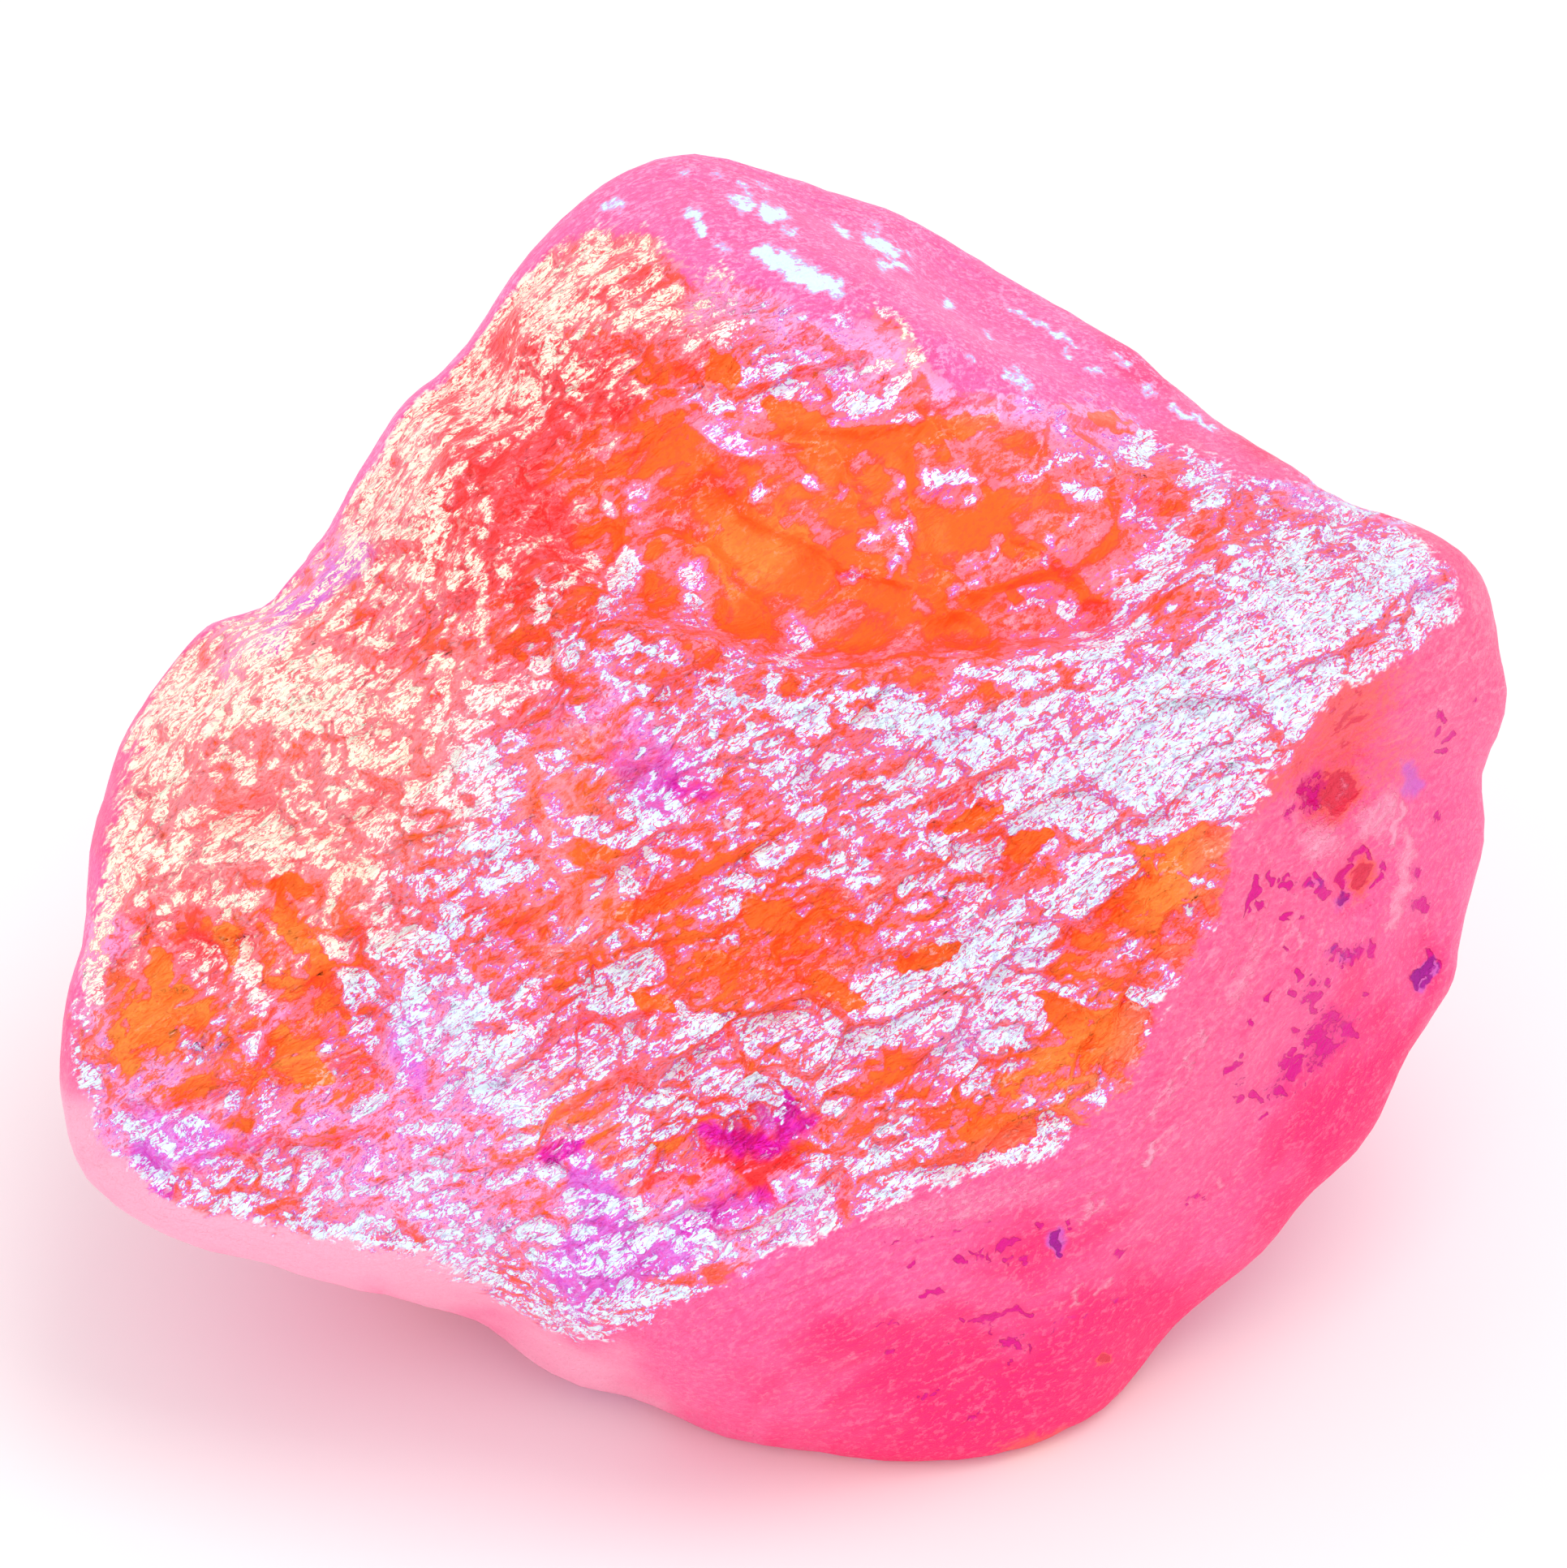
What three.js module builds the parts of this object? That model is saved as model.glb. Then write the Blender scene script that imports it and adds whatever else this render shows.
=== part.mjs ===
// A fist-sized chunk of raw angel aura quartz, in millimetres, +Z up, lying on its flattest side.
//
// The chunk is one solid. A large hackly break fills its front and top, and the rest is worn rind.
// It is laid out in the frame of that break: "across" runs to the right, "along" runs up the break
// and "out" points away from it. The solid starts as facets round the heart of the chunk, with
// blunted edges, is trimmed to the outline that the break's side shows, and then gets its
// hollows, ledges, gutters, chips and pits. Last it is turned to lie on its base.

import * as THREE from "three";
import { ImprovedNoise } from "three/addons/math/ImprovedNoise.js";
import { mergeVertices } from "three/addons/utils/BufferGeometryUtils.js";

const { degToRad, smoothstep, lerp } = THREE.MathUtils;

// How far the break looks up from level, in degrees, and how deep under the heart the base is cut.
const BREAK_RISE = 38;
const BASE_DEPTH = 15.6;

// The mesh: the icosahedron's subdivision, and how much closer its points lie on the break's side.
const MESH_DETAIL = 20;
const FRONT_CROWDING = 0.24;

// The higher this power is, the sharper the edges between facets are.
const EDGE_SHARPNESS = 17;

// The facets of the chunk. bearing turns round the break, from 0 across to 90 along. lean tips the
// facet from 0, facing out, through 90, facing sideways, to 180, facing away. reach is its
// distance from the heart.
const FACETS = [
  { name: "front of the break", bearing: -61, lean: 12, reach: 16.8 },
  { name: "top of the break", bearing: 88, lean: 29, reach: 18.0 },
  { name: "left of the break", bearing: 176, lean: 24, reach: 18.6 },
  { name: "upper left of the break", bearing: 143, lean: 38, reach: 19.3 },
  { name: "right rind", bearing: -27, lean: 54, reach: 21.2 },
  { name: "lower right rind", bearing: -46, lean: 58, reach: 21.0 },
  { name: "lower rind", bearing: -68, lean: 50, reach: 20.4 },
  { name: "lower left rind", bearing: -103, lean: 72, reach: 21.6 },
  { name: "top rind", bearing: 64, lean: 52, reach: 21.4 },
  { name: "left shoulder", bearing: 136, lean: 66, reach: 19.8 },
  { name: "left end", bearing: 180, lean: 72, reach: 25.2 },
  { name: "base", bearing: -90, lean: 90 + BREAK_RISE, reach: BASE_DEPTH + 0.1 },
  { name: "right of the back", bearing: 20, lean: 117, reach: 20.5 },
  { name: "left of the back", bearing: 143, lean: 127, reach: 18.8 },
  { name: "back", bearing: 76, lean: 154, reach: 17.6 },
  { name: "under the left end", bearing: -148, lean: 112, reach: 19.6 },
  { name: "under the right rind", bearing: -32, lean: 118, reach: 19.8 },
];

// The outline of the chunk as seen straight onto the break, clockwise from the peak.
const OUTLINE = [
  [-2.6, 23.0], [1.2, 22.2], [4.3, 21.0], [6.4, 19.5], [10.2, 17.2], [12.1, 15.9], [13.6, 14.3],
  [17.1, 12.0], [19.4, 10.2], [21.9, 9.1], [23.9, 8.0], [25.1, 3.9], [24.2, 0.6], [24.7, -1.0],
  [23.6, -5.1], [23.5, -6.2], [22.6, -7.5], [20.4, -11.9], [18.5, -13.5], [16.7, -15.8],
  [12.5, -20.1], [10.2, -21.9], [4.8, -22.9], [-1.8, -22.4], [-5.6, -20.9], [-7.2, -20.6],
  [-10.5, -17.8], [-12.4, -17.5], [-16.0, -16.5], [-18.3, -15.3], [-20.7, -14.8], [-23.9, -12.8],
  [-24.9, -8.9], [-24.2, -5.2], [-23.3, 1.7], [-20.8, 5.5], [-19.5, 6.6], [-18.8, 6.2],
  [-17.4, 7.9], [-16.3, 9.1], [-15.5, 10.6], [-13.5, 14.3], [-11.6, 15.8], [-8.6, 19.6], [-5.1, 22.3],
];

// The edge where the break meets the rind, seen the same way.
const BREAK_EDGE = [
  [-6.3, 20.5], [-1.8, 18.8], [2.4, 17.4], [4.7, 15.7], [10.3, 13.7], [16.2, 10.6], [21.8, 7.4],
  [22.1, 5.8], [19.0, 3.9], [17.6, 1.9], [15.6, -0.9], [15.1, -3.7], [13.4, -6.6], [12.3, -9.4],
  [10.3, -11.3], [5.2, -13.3], [1.0, -15.0], [-2.9, -16.7], [-5.2, -18.1], [-7.7, -18.4],
  [-10.3, -16.7], [-12.5, -15.6], [-18.7, -14.2], [-21.5, -13.4], [-23.5, -11.3], [-24.4, -7.0],
  [-23.6, -1.0], [-20.9, 4.9], [-15.2, 8.8], [-12.3, 14.2],
];

// Hollows in the break: centre, half-lengths, turn of the long way in degrees, and depth.
// rim is where the wall starts to fall, as a share of the half-lengths: near 1 is a steep wall.
const HOLLOWS = [
  { name: "basin", at: [3.0, 9.7], half: [12.6, 6.2], turn: -8, depth: 2.7, rim: 0.2 },
  { name: "basin floor", at: [-1.2, 7.9], half: [5.6, 3.6], turn: -24, depth: 0.8, rim: 0.1 },
  { name: "cell under the lip", at: [1.9, 5.4], half: [2.8, 2.2], turn: 15, depth: 0.8, rim: 0.2 },
  { name: "right end of the basin", at: [10.6, 7.9], half: [5.0, 2.9], turn: 18, depth: 0.8, rim: 0.1 },
  { name: "dish at the left end", at: [-20.4, -6.8], half: [3.2, 4.4], turn: 10, depth: 0.8, rim: 0.1 },
  { name: "second dish at the left", at: [-15.6, -6.9], half: [2.4, 3.4], turn: 5, depth: 0.6, rim: 0.1 },
  { name: "upper left dish", at: [-7.4, 13.0], half: [4.0, 3.2], turn: 40, depth: 0.7, rim: 0.1 },
  { name: "long dish in the front", at: [0.2, -4.4], half: [4.0, 2.1], turn: 22, depth: 0.8, rim: 0.2 },
  { name: "right dish in the front", at: [7.6, -2.2], half: [4.6, 1.9], turn: 30, depth: 0.7, rim: 0.2 },
  { name: "dish by the right rind", at: [12.4, -3.7], half: [3.4, 2.2], turn: 48, depth: 0.6, rim: 0.2 },
  { name: "lower right dish", at: [8.6, -9.4], half: [4.8, 2.2], turn: 38, depth: 0.6, rim: 0.2 },
  { name: "crease over the lower rind", at: [-2.0, -11.4], half: [5.0, 1.8], turn: 10, depth: 1.1, rim: 0.1 },
];

// Ridges stand up (height over 0) and gutters sink in, along lines on the break or the rind.
const LINES = [
  {
    name: "lip of the basin",
    path: [[-9.2, 9.6], [-5.8, 6.2], [-1.0, 3.7], [3.4, 3.5], [6.0, 4.3], [10.8, 5.4], [14.6, 7.6]],
    width: 1.3,
    height: 0.7,
  },
  {
    name: "trough behind the lip",
    path: [[-7.2, 10.0], [-4.2, 7.9], [-0.2, 6.0], [3.6, 5.8], [6.4, 6.5], [10.4, 7.6], [13.2, 9.2]],
    width: 1.6,
    height: -1.1,
  },
  {
    name: "spine between the left and the front",
    path: [[-9.6, 9.0], [-10.4, 4.0], [-9.4, 0.0], [-9.9, -5.0], [-8.4, -11.0], [-8.8, -17.0]],
    width: 2.0,
    height: 0.45,
  },
  {
    name: "gutter beside the spine",
    path: [[-8.6, 3.4], [-7.4, -0.6], [-7.6, -4.4], [-6.2, -8.6]],
    width: 1.5,
    height: -0.75,
  },
  {
    name: "rib across the basin",
    path: [[-3.0, 13.6], [-0.8, 11.8], [1.6, 10.6], [4.2, 10.8], [4.4, 7.8]],
    width: 1.1,
    height: 0.5,
  },
  {
    name: "shelf above the basin",
    path: [[-8.4, 16.4], [-4.0, 16.2], [1.6, 15.8], [4.8, 14.8]],
    width: 1.4,
    height: 0.5,
  },
  {
    name: "step through the left shoulder",
    path: [[-21.0, 1.6], [-17.6, 3.2], [-13.6, 2.6], [-11.4, 0.4]],
    width: 1.3,
    height: 0.5,
  },
  {
    name: "low edge under the left",
    path: [[-17.2, -11.2], [-13.0, -9.6], [-10.0, -12.2]],
    width: 1.4,
    height: 0.4,
  },
  {
    name: "fold in the right rind",
    path: [[21.4, 3.6], [18.8, -3.6], [15.8, -8.8], [12.2, -13.0], [10.0, -18.6]],
    width: 1.7,
    height: 0.4,
  },
  {
    name: "fold in the lower rind",
    path: [[-3.4, -18.9], [1.4, -17.2], [7.0, -15.8], [11.0, -13.8]],
    width: 1.5,
    height: 0.35,
  },
];

// Pits in the rind: the direction from the heart as for the facets, radius and depth.
const PITS = [
  { bearing: 4, lean: 56, radius: 2.7, depth: 0.8 },
  { bearing: -7, lean: 62, radius: 2.3, depth: 0.6 },
  { bearing: -14, lean: 76, radius: 2.2, depth: 0.6 },
  { bearing: -27, lean: 62, radius: 2.8, depth: 0.4 },
  { bearing: -58, lean: 57, radius: 2.6, depth: 0.4 },
  { bearing: -72, lean: 68, radius: 3.0, depth: 0.4 },
  { bearing: 30, lean: 104, radius: 4.4, depth: 0.9 },
  { bearing: 8, lean: 124, radius: 3.6, depth: 0.7 },
  { bearing: 62, lean: 116, radius: 5.2, depth: 1.1 },
  { bearing: 96, lean: 128, radius: 3.8, depth: 0.7 },
  { bearing: 128, lean: 108, radius: 4.6, depth: 0.9 },
  { bearing: 160, lean: 122, radius: 4.0, depth: 0.8 },
  { bearing: 110, lean: 150, radius: 4.8, depth: 0.9 },
  { bearing: 30, lean: 150, radius: 4.2, depth: 0.8 },
];

// Chips on the break: long scales laid on a slant, each tipped its own way, with worn edges.
const CHIP_LENGTH = 4.6;
const CHIP_WIDTH = 2.9;
const CHIP_TURN = 30;
const CHIP_TIP = 0.42;
const CHIP_STEP = 0.36;
const CHIP_CRISPNESS = 16;

// The slow swell and the small unevenness of the worn rind, and how far the lines on the break
// wander: wavelength and height of each.
const SWELL = { length: 9.0, height: 0.5 };
const WEAR = { length: 3.6, height: 0.16 };
const WANDER = { length: 5.0, height: 1.1 };

const noise = new ImprovedNoise();

// A unit vector from a bearing and a lean.
function direction(bearing, lean) {
  const b = degToRad(bearing);
  const l = degToRad(lean);
  return new THREE.Vector3(Math.sin(l) * Math.cos(b), Math.sin(l) * Math.sin(b), Math.cos(l));
}

const facets = FACETS.map(({ bearing, lean, reach }) => ({
  normal: direction(bearing, lean),
  reach,
}));

// How far the blunted facets lie from the heart along a direction.
function reachAlong(dir) {
  const crowd = facets.reduce(
    (sum, { normal, reach }) => sum + Math.max(0, normal.dot(dir) / reach) ** EDGE_SHARPNESS,
    0,
  );
  return crowd ** (-1 / EDGE_SHARPNESS);
}

// A function of the bearing in radians, read from samples spaced evenly round the full circle.
function roundTable(samples) {
  return (bearing) => {
    const turn = ((bearing / (2 * Math.PI)) % 1 + 1) % 1;
    const place = turn * samples.length;
    const low = Math.floor(place) % samples.length;
    return lerp(samples[low], samples[(low + 1) % samples.length], place - Math.floor(place));
  };
}

const OUTLINE_STEPS = 360;
const CURVE_POINTS = 1440;
const BACK_SOFTENING = 24;
const GIRTH_BAND = [-10, -3];

// The outline's radius about the heart, for each bearing.
function outlineRadius() {
  const corners = OUTLINE.map(([across, along]) => new THREE.Vector3(across, along, 0));
  const curve = new THREE.CatmullRomCurve3(corners, true, "centripetal");
  const widest = new Array(OUTLINE_STEPS).fill(0);
  for (const { x, y } of curve.getPoints(CURVE_POINTS)) {
    const turn = (Math.atan2(y, x) / (2 * Math.PI) + 1) % 1;
    const step = Math.round(turn * OUTLINE_STEPS) % OUTLINE_STEPS;
    widest[step] = Math.max(widest[step], Math.hypot(x, y));
  }
  return roundTable(widest);
}

// How wide the blunted facets are about the "out" axis, for each bearing.
function facetRadius() {
  const widest = Array.from({ length: OUTLINE_STEPS }, (_, step) => {
    const bearing = (360 * step) / OUTLINE_STEPS;
    let radius = 0;
    for (let lean = 40; lean <= 140; lean += 4) {
      const reach = reachAlong(direction(bearing, lean));
      radius = Math.max(radius, reach * Math.sin(degToRad(lean)));
    }
    return radius;
  });
  return roundTable(widest);
}

// The same function of the bearing, averaged over a span of degrees.
function broadened(table, span) {
  const samples = Array.from({ length: OUTLINE_STEPS }, (_, step) => {
    let sum = 0;
    for (let offset = -span; offset <= span; offset += 1) {
      sum += table(((step + offset) / OUTLINE_STEPS) * 2 * Math.PI);
    }
    return sum / (2 * span + 1);
  });
  return roundTable(samples);
}

const wanted = outlineRadius();
const before = facetRadius();
const broadWanted = broadened(wanted, BACK_SOFTENING);
const broadBefore = broadened(before, BACK_SOFTENING);

// Moves a point sideways so that the widest girth meets the outline; the middle stays, and the
// back takes only the broad shape of the outline.
function trimToOutline(point) {
  const bearing = Math.atan2(point.y, point.x);
  const share = Math.min(1, Math.hypot(point.x, point.y) / before(bearing));
  const fine = wanted(bearing) / before(bearing);
  const broad = broadWanted(bearing) / broadBefore(bearing);
  const girth = lerp(broad, fine, smoothstep(point.z, ...GIRTH_BAND));
  const scale = lerp(1, girth, smoothstep(share, 0.35, 1));
  point.x *= scale;
  point.y *= scale;
}

// The distance from (x, y) to the line through the path's points.
function distanceToPath(x, y, path) {
  let nearest = Infinity;
  for (let i = 1; i < path.length; i += 1) {
    const [ax, ay] = path[i - 1];
    const [bx, by] = path[i];
    const along = ((x - ax) * (bx - ax) + (y - ay) * (by - ay)) / ((bx - ax) ** 2 + (by - ay) ** 2);
    const t = Math.min(1, Math.max(0, along));
    nearest = Math.min(nearest, Math.hypot(x - lerp(ax, bx, t), y - lerp(ay, by, t)));
  }
  return nearest;
}

// How far (x, y) lies inside the edge of the break; below 0 is on the rind.
function insideBreak(x, y) {
  const loop = [...BREAK_EDGE, BREAK_EDGE[0]];
  let inside = false;
  for (let i = 1; i < loop.length; i += 1) {
    const [ax, ay] = loop[i - 1];
    const [bx, by] = loop[i];
    const crosses = ay > y !== by > y && x < ax + ((y - ay) * (bx - ax)) / (by - ay);
    inside = crosses ? !inside : inside;
  }
  return distanceToPath(x, y, loop) * (inside ? 1 : -1);
}

// A repeatable number from 0 to 1 for a whole-numbered cell and a channel.
function cellRandom(i, j, k, channel) {
  const wave = Math.sin(i * 127.1 + j * 311.7 + k * 74.7 + channel * 191.3) * 43758.5453;
  return wave - Math.floor(wave);
}

// The chips' relief: the tipped planes of the cells of a slanted lattice, the nearest cell's first.
function chipHeight(point) {
  const turn = degToRad(CHIP_TURN);
  const x = (point.x * Math.cos(turn) + point.y * Math.sin(turn)) / CHIP_LENGTH;
  const y = (point.y * Math.cos(turn) - point.x * Math.sin(turn)) / CHIP_WIDTH;
  const z = point.z / CHIP_LENGTH;
  let total = 0;
  let weights = 0;
  for (let n = 0; n < 27; n += 1) {
    const i = Math.floor(x) + (n % 3) - 1;
    const j = Math.floor(y) + (Math.floor(n / 3) % 3) - 1;
    const k = Math.floor(z) + Math.floor(n / 9) - 1;
    const dx = x - i - cellRandom(i, j, k, 0);
    const dy = y - j - cellRandom(i, j, k, 1);
    const dz = z - k - cellRandom(i, j, k, 2);
    const tip = dx * (cellRandom(i, j, k, 3) - 0.5) + dy * (cellRandom(i, j, k, 4) - 0.5);
    const step = cellRandom(i, j, k, 5) - 0.5;
    const weight = Math.exp(-CHIP_CRISPNESS * (dx * dx + dy * dy + dz * dz));
    total += weight * (tip * CHIP_TIP * CHIP_WIDTH + step * CHIP_STEP);
    weights += weight;
  }
  return total / Math.max(weights, 1e-12);
}

// The depth of one hollow of the break at (x, y), from 0 outside it.
function hollowDepth({ at, half, turn, depth, rim }, x, y) {
  const c = Math.cos(degToRad(turn));
  const s = Math.sin(degToRad(turn));
  const along = ((x - at[0]) * c + (y - at[1]) * s) / half[0];
  const aside = ((y - at[1]) * c - (x - at[0]) * s) / half[1];
  return depth * (1 - smoothstep(Math.hypot(along, aside), rim, 1));
}

const pits = PITS.map(({ bearing, lean, radius, depth }) => {
  const dir = direction(bearing, lean);
  const centre = dir.clone().multiplyScalar(reachAlong(dir));
  trimToOutline(centre);
  return { centre, radius, depth };
});

// The noise at a point, for a wavelength and height; shift picks an unrelated part of the field.
function unevenness(point, { length, height }, shift = 0) {
  return height * noise.noise(point.x / length + shift, point.y / length, point.z / length);
}

// How far the surface at a point stands above (or, below 0, under) the plain facets.
function relief(point) {
  let height = unevenness(point, SWELL) + unevenness(point, WEAR);
  for (const { centre, radius, depth } of pits) {
    height -= depth * (1 - smoothstep(centre.distanceTo(point), 0.2 * radius, radius));
  }
  const facesOut = smoothstep(point.z, -2, 3);
  if (facesOut === 0) return height;
  const x = point.x + unevenness(point, WANDER, 17.3);
  const y = point.y + unevenness(point, WANDER, 41.7);
  for (const hollow of HOLLOWS) height -= facesOut * hollowDepth(hollow, x, y);
  for (const { path, width, height: rise } of LINES) {
    height += facesOut * rise * Math.exp(-((distanceToPath(x, y, path) / width) ** 2));
  }
  const onBreak = smoothstep(insideBreak(point.x, point.y), 0, 1.6);
  return height + facesOut * onBreak * chipHeight(point);
}

// The chunk in the break's frame, before it is laid down.
function chunkGeometry() {
  const sphere = new THREE.IcosahedronGeometry(1, MESH_DETAIL);
  sphere.deleteAttribute("normal");
  sphere.deleteAttribute("uv");
  const geometry = mergeVertices(sphere);
  const position = geometry.getAttribute("position");
  const point = new THREE.Vector3();
  for (let i = 0; i < position.count; i += 1) {
    point.fromBufferAttribute(position, i);
    point.z += FRONT_CROWDING;
    point.normalize();
    point.multiplyScalar(reachAlong(point));
    trimToOutline(point);
    position.setXYZ(i, ...point.toArray());
  }
  geometry.computeVertexNormals();
  const normals = geometry.getAttribute("normal");
  const normal = new THREE.Vector3();
  for (let i = 0; i < position.count; i += 1) {
    point.fromBufferAttribute(position, i);
    normal.fromBufferAttribute(normals, i);
    point.addScaledVector(normal, relief(point));
    position.setXYZ(i, ...point.toArray());
  }
  return geometry;
}

// Turns the chunk to lie down, cuts its base level, and puts the origin under its middle.
function layDown(geometry) {
  geometry.rotateX(degToRad(90 - BREAK_RISE));
  const position = geometry.getAttribute("position");
  for (let i = 0; i < position.count; i += 1) {
    position.setZ(i, Math.max(-BASE_DEPTH, position.getZ(i)));
  }
  geometry.computeBoundingBox();
  const { min, max } = geometry.boundingBox;
  geometry.translate(-(min.x + max.x) / 2, -(min.y + max.y) / 2, -min.z);
  geometry.computeVertexNormals();
  return geometry;
}

const auraQuartz = new THREE.MeshStandardMaterial({ color: 0xff5a6e, roughness: 0.35, metalness: 0.2 });

const chunk = new THREE.Mesh(layDown(chunkGeometry()), auraQuartz);
chunk.name = "quartz_chunk";

const part = new THREE.Group();
part.add(chunk);

export default part;
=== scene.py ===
"""Raw angel aura quartz: one coated chunk of rough quartz, and the stage it lies on."""

import math

import bpy
import numpy as np
from mathutils import Matrix, Vector


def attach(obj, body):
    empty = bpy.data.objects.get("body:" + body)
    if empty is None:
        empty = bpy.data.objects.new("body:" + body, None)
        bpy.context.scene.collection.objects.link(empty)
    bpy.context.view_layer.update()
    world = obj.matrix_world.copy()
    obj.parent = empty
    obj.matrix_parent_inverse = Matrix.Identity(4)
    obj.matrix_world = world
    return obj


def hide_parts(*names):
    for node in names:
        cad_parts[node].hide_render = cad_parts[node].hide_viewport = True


bl_info = {
    "name": "Raw Angel Aura Quartz",
    "version": (1, 0, 0),
    "blender": (4, 5, 0),
    "location": "View3D > Sidebar > Aura Quartz",
    "description": "Builds a rough chunk of aura-coated quartz and the stage it lies on",
    "category": "Add Mesh",
}

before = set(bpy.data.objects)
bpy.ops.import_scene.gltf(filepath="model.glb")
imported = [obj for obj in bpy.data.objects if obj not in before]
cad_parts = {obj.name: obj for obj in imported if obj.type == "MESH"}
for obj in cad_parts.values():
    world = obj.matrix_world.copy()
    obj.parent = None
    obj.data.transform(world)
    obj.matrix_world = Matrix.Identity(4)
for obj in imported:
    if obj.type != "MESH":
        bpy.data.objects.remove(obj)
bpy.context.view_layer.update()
CAD_NODE = "quartz_chunk"
CHUNK = "quartz_chunk_surface"

MM = 0.001

# The break's own frame has millimetres across, along and out, from the heart of the chunk; the heart
# itself is in metres.
BREAK_RISE = math.radians(38)
HEART = (-0.00018, 0.00112, 0.0156)

# The zones and strokes below are laid out in millimetres as the break is seen from straight over it,
# from this far over the heart; lengths are true at the level height. The centre is straight under
# that point, and lies at the shift in the layout.
SEEN_FROM = 305.1
LEVEL_HEIGHT = 4.7
SEEN_CENTRE = (0.09, 0.59)
SEEN_SHIFT = (0.03, 0.87)

# The way that the break faces, and the way towards the painted light: flakes that face it get painted
# highlights, and flakes that face away get painted shade.
OUT = (0.0, -math.cos(BREAK_RISE), math.sin(BREAK_RISE))
PAINTED_LIGHT_WAY = (0.22, -0.28, 0.93)

# Where the break's zones fade in, by height over the heart in millimetres, and where the hidden
# sides begin and are full, by how far they lean away from the break.
FADE_IN = (-3.0, 2.0)
HIDDEN_LEAN = (0.02, 0.3)

# The depth inside the break's edge goes no further than the first, and is minus the second on the
# sides that face away.
DEEPEST = 8
FAR_OUTSIDE = 3

# The waves that move the zones' lines: height, how fast they run across and along, and their start;
# the first pair moves a spot across and the second along.
WANDER = (((0.5, 0.7, 1.1, 0), (0.35, -1.4, 2.3, 2)), ((0.45, 1.2, -0.5, 1), (0.3, 2.6, 1.7, 0)))
RIPPLE = (((0.09, 2.3, 5.1, 0), (0.06, -7.4, 11.3, 2)), ((0.08, 6.2, -3.5, 1), (0.05, 13.6, 8.7, 0)))

# The surface is divided this often before its relief, and merged where points are this close.
DIVISIONS = 3
MERGE = 1e-6
# A spot with less than this of every stroke may be thinned with the rest.
FAINT = 0.04
# The relief fades in between these heights, so the face that the chunk rests on stays flat.
RESTING = (0.2 * MM, 1.6 * MM)

# The relief's cells: size in millimetres, slant in degrees, how far their lines wander, their tip
# from edge to edge, the ledge between them and how soft their edges are.
CHIPS = ((3.4, 1.9, 2.5), 28, 2.8, 1.0, 0.3, 0.22)
FLAKES = ((1.55, 0.8, 1.1), 34, 1.6, 1.0, 0.34, 0.12)
SLIVERS = ((0.8, 0.36, 0.6), 36, 0.5, 1.0, 0.3, 0.1)
PLATES = ((7.0, 4.4, 6.0), -32, 2.2, 1.3, 0.2, 0.1)
LEDGES = ((8.0, 5.0, 7.0), 20, 3.0, 0.7, 0.15, 0.15)

# The finer patterns: size in millimetres, slant in degrees and how far their lines wander.
WRINKLES = ((1.1, 0.65, 0.9), 30, 0.6)
MOTTLE = ((2.2, 1.2, 1.6), 30, 1.0)
PUCKER = ((1.0, 0.5, 0.8), 33, 0.5)
THREAD = ((0.8, 0.22, 0.5), 38, 0.4)
GRIT = ((0.3, 0.17, 0.25), 36, 0.3)
GRAIN = ((0.15, 0.1, 0.13), 36, 0.2)

# Where the mask of a soft zone starts and is full.
SOFT_ZONE = (0.25, 0.75)
# Where the break's tint passes to open ground, ridges, flake edges, their rims and their painted highlight.
TINT_STEPS = ((-0.02, 0.08), (0.08, 0.28), (0.42, 0.52), (0.53, 0.59), (0.59, 0.67))
# How strongly the break and the rind glow with their own colours: a painted glow that lifts their shade, in
# which the break's painted highlights glow in the cool sheen.
FACE_PAINTED_GLOW = 0.1
RIND_PAINTED_GLOW = 0.06

# The stage: the point that the camera and lights aim at, the camera's shift from it to the right
# and up, and the lights' names, directions from the chunk, distances, sizes and powers.
AIM = (0.0, 0.0, 0.0176)
CAMERA_OFFSET = (-0.00009, -0.0003)
LIGHTS = [
    ("key", (0.25, -0.1, 0.96), 0.55, (0.3, 0.3), 0.7),
    ("front fill", (-0.35, -0.88, 0.3), 0.8, (0.5, 0.3), 0.7),
]
FLOOR_SIZE = 6.0
FLOOR_GREY = 0.97

# The edge where the break meets the rind, seen straight onto the break.
BREAK_EDGE = [
    (-9.2, 19), (-7.5, 20.1), (-4.8, 20.1), (-3.9, 19.3), (-3.1, 18.4), (-1.9, 18.7), (-0.5, 18), (0.4, 17.4),
    (1.5, 17), (3.2, 17.6), (4.3, 16.8), (4.9, 16), (5.3, 15.1), (6.4, 14.5), (8.5, 14.2), (10.6, 14.3),
    (12.5, 13.3), (14.1, 12.3), (15.4, 11.7), (18.6, 11.2), (21.3, 10), (23.2, 8.4), (23.4, 6.8), (22.1, 5.6),
    (19, 3.9), (17.6, 1.9), (15.6, -0.9), (15.1, -3.7), (13.4, -6.6), (12.3, -9), (10.3, -11.3), (7.3, -12.6),
    (4.2, -13.4), (1, -15), (-2.9, -16.7), (-5.2, -18.1), (-7.7, -18.4), (-10.3, -16.7), (-12.5, -15.6),
    (-15.9, -15), (-18.7, -14.2), (-21.5, -13.4), (-23.8, -11.3), (-24.8, -8.4), (-24.3, -5.2), (-23.7, -2.4),
    (-22.7, 2), (-21.9, 4), (-20.8, 5.9), (-18.6, 7.4), (-15.9, 9.8), (-12.8, 14.8), (-10.2, 18.2),
]
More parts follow.
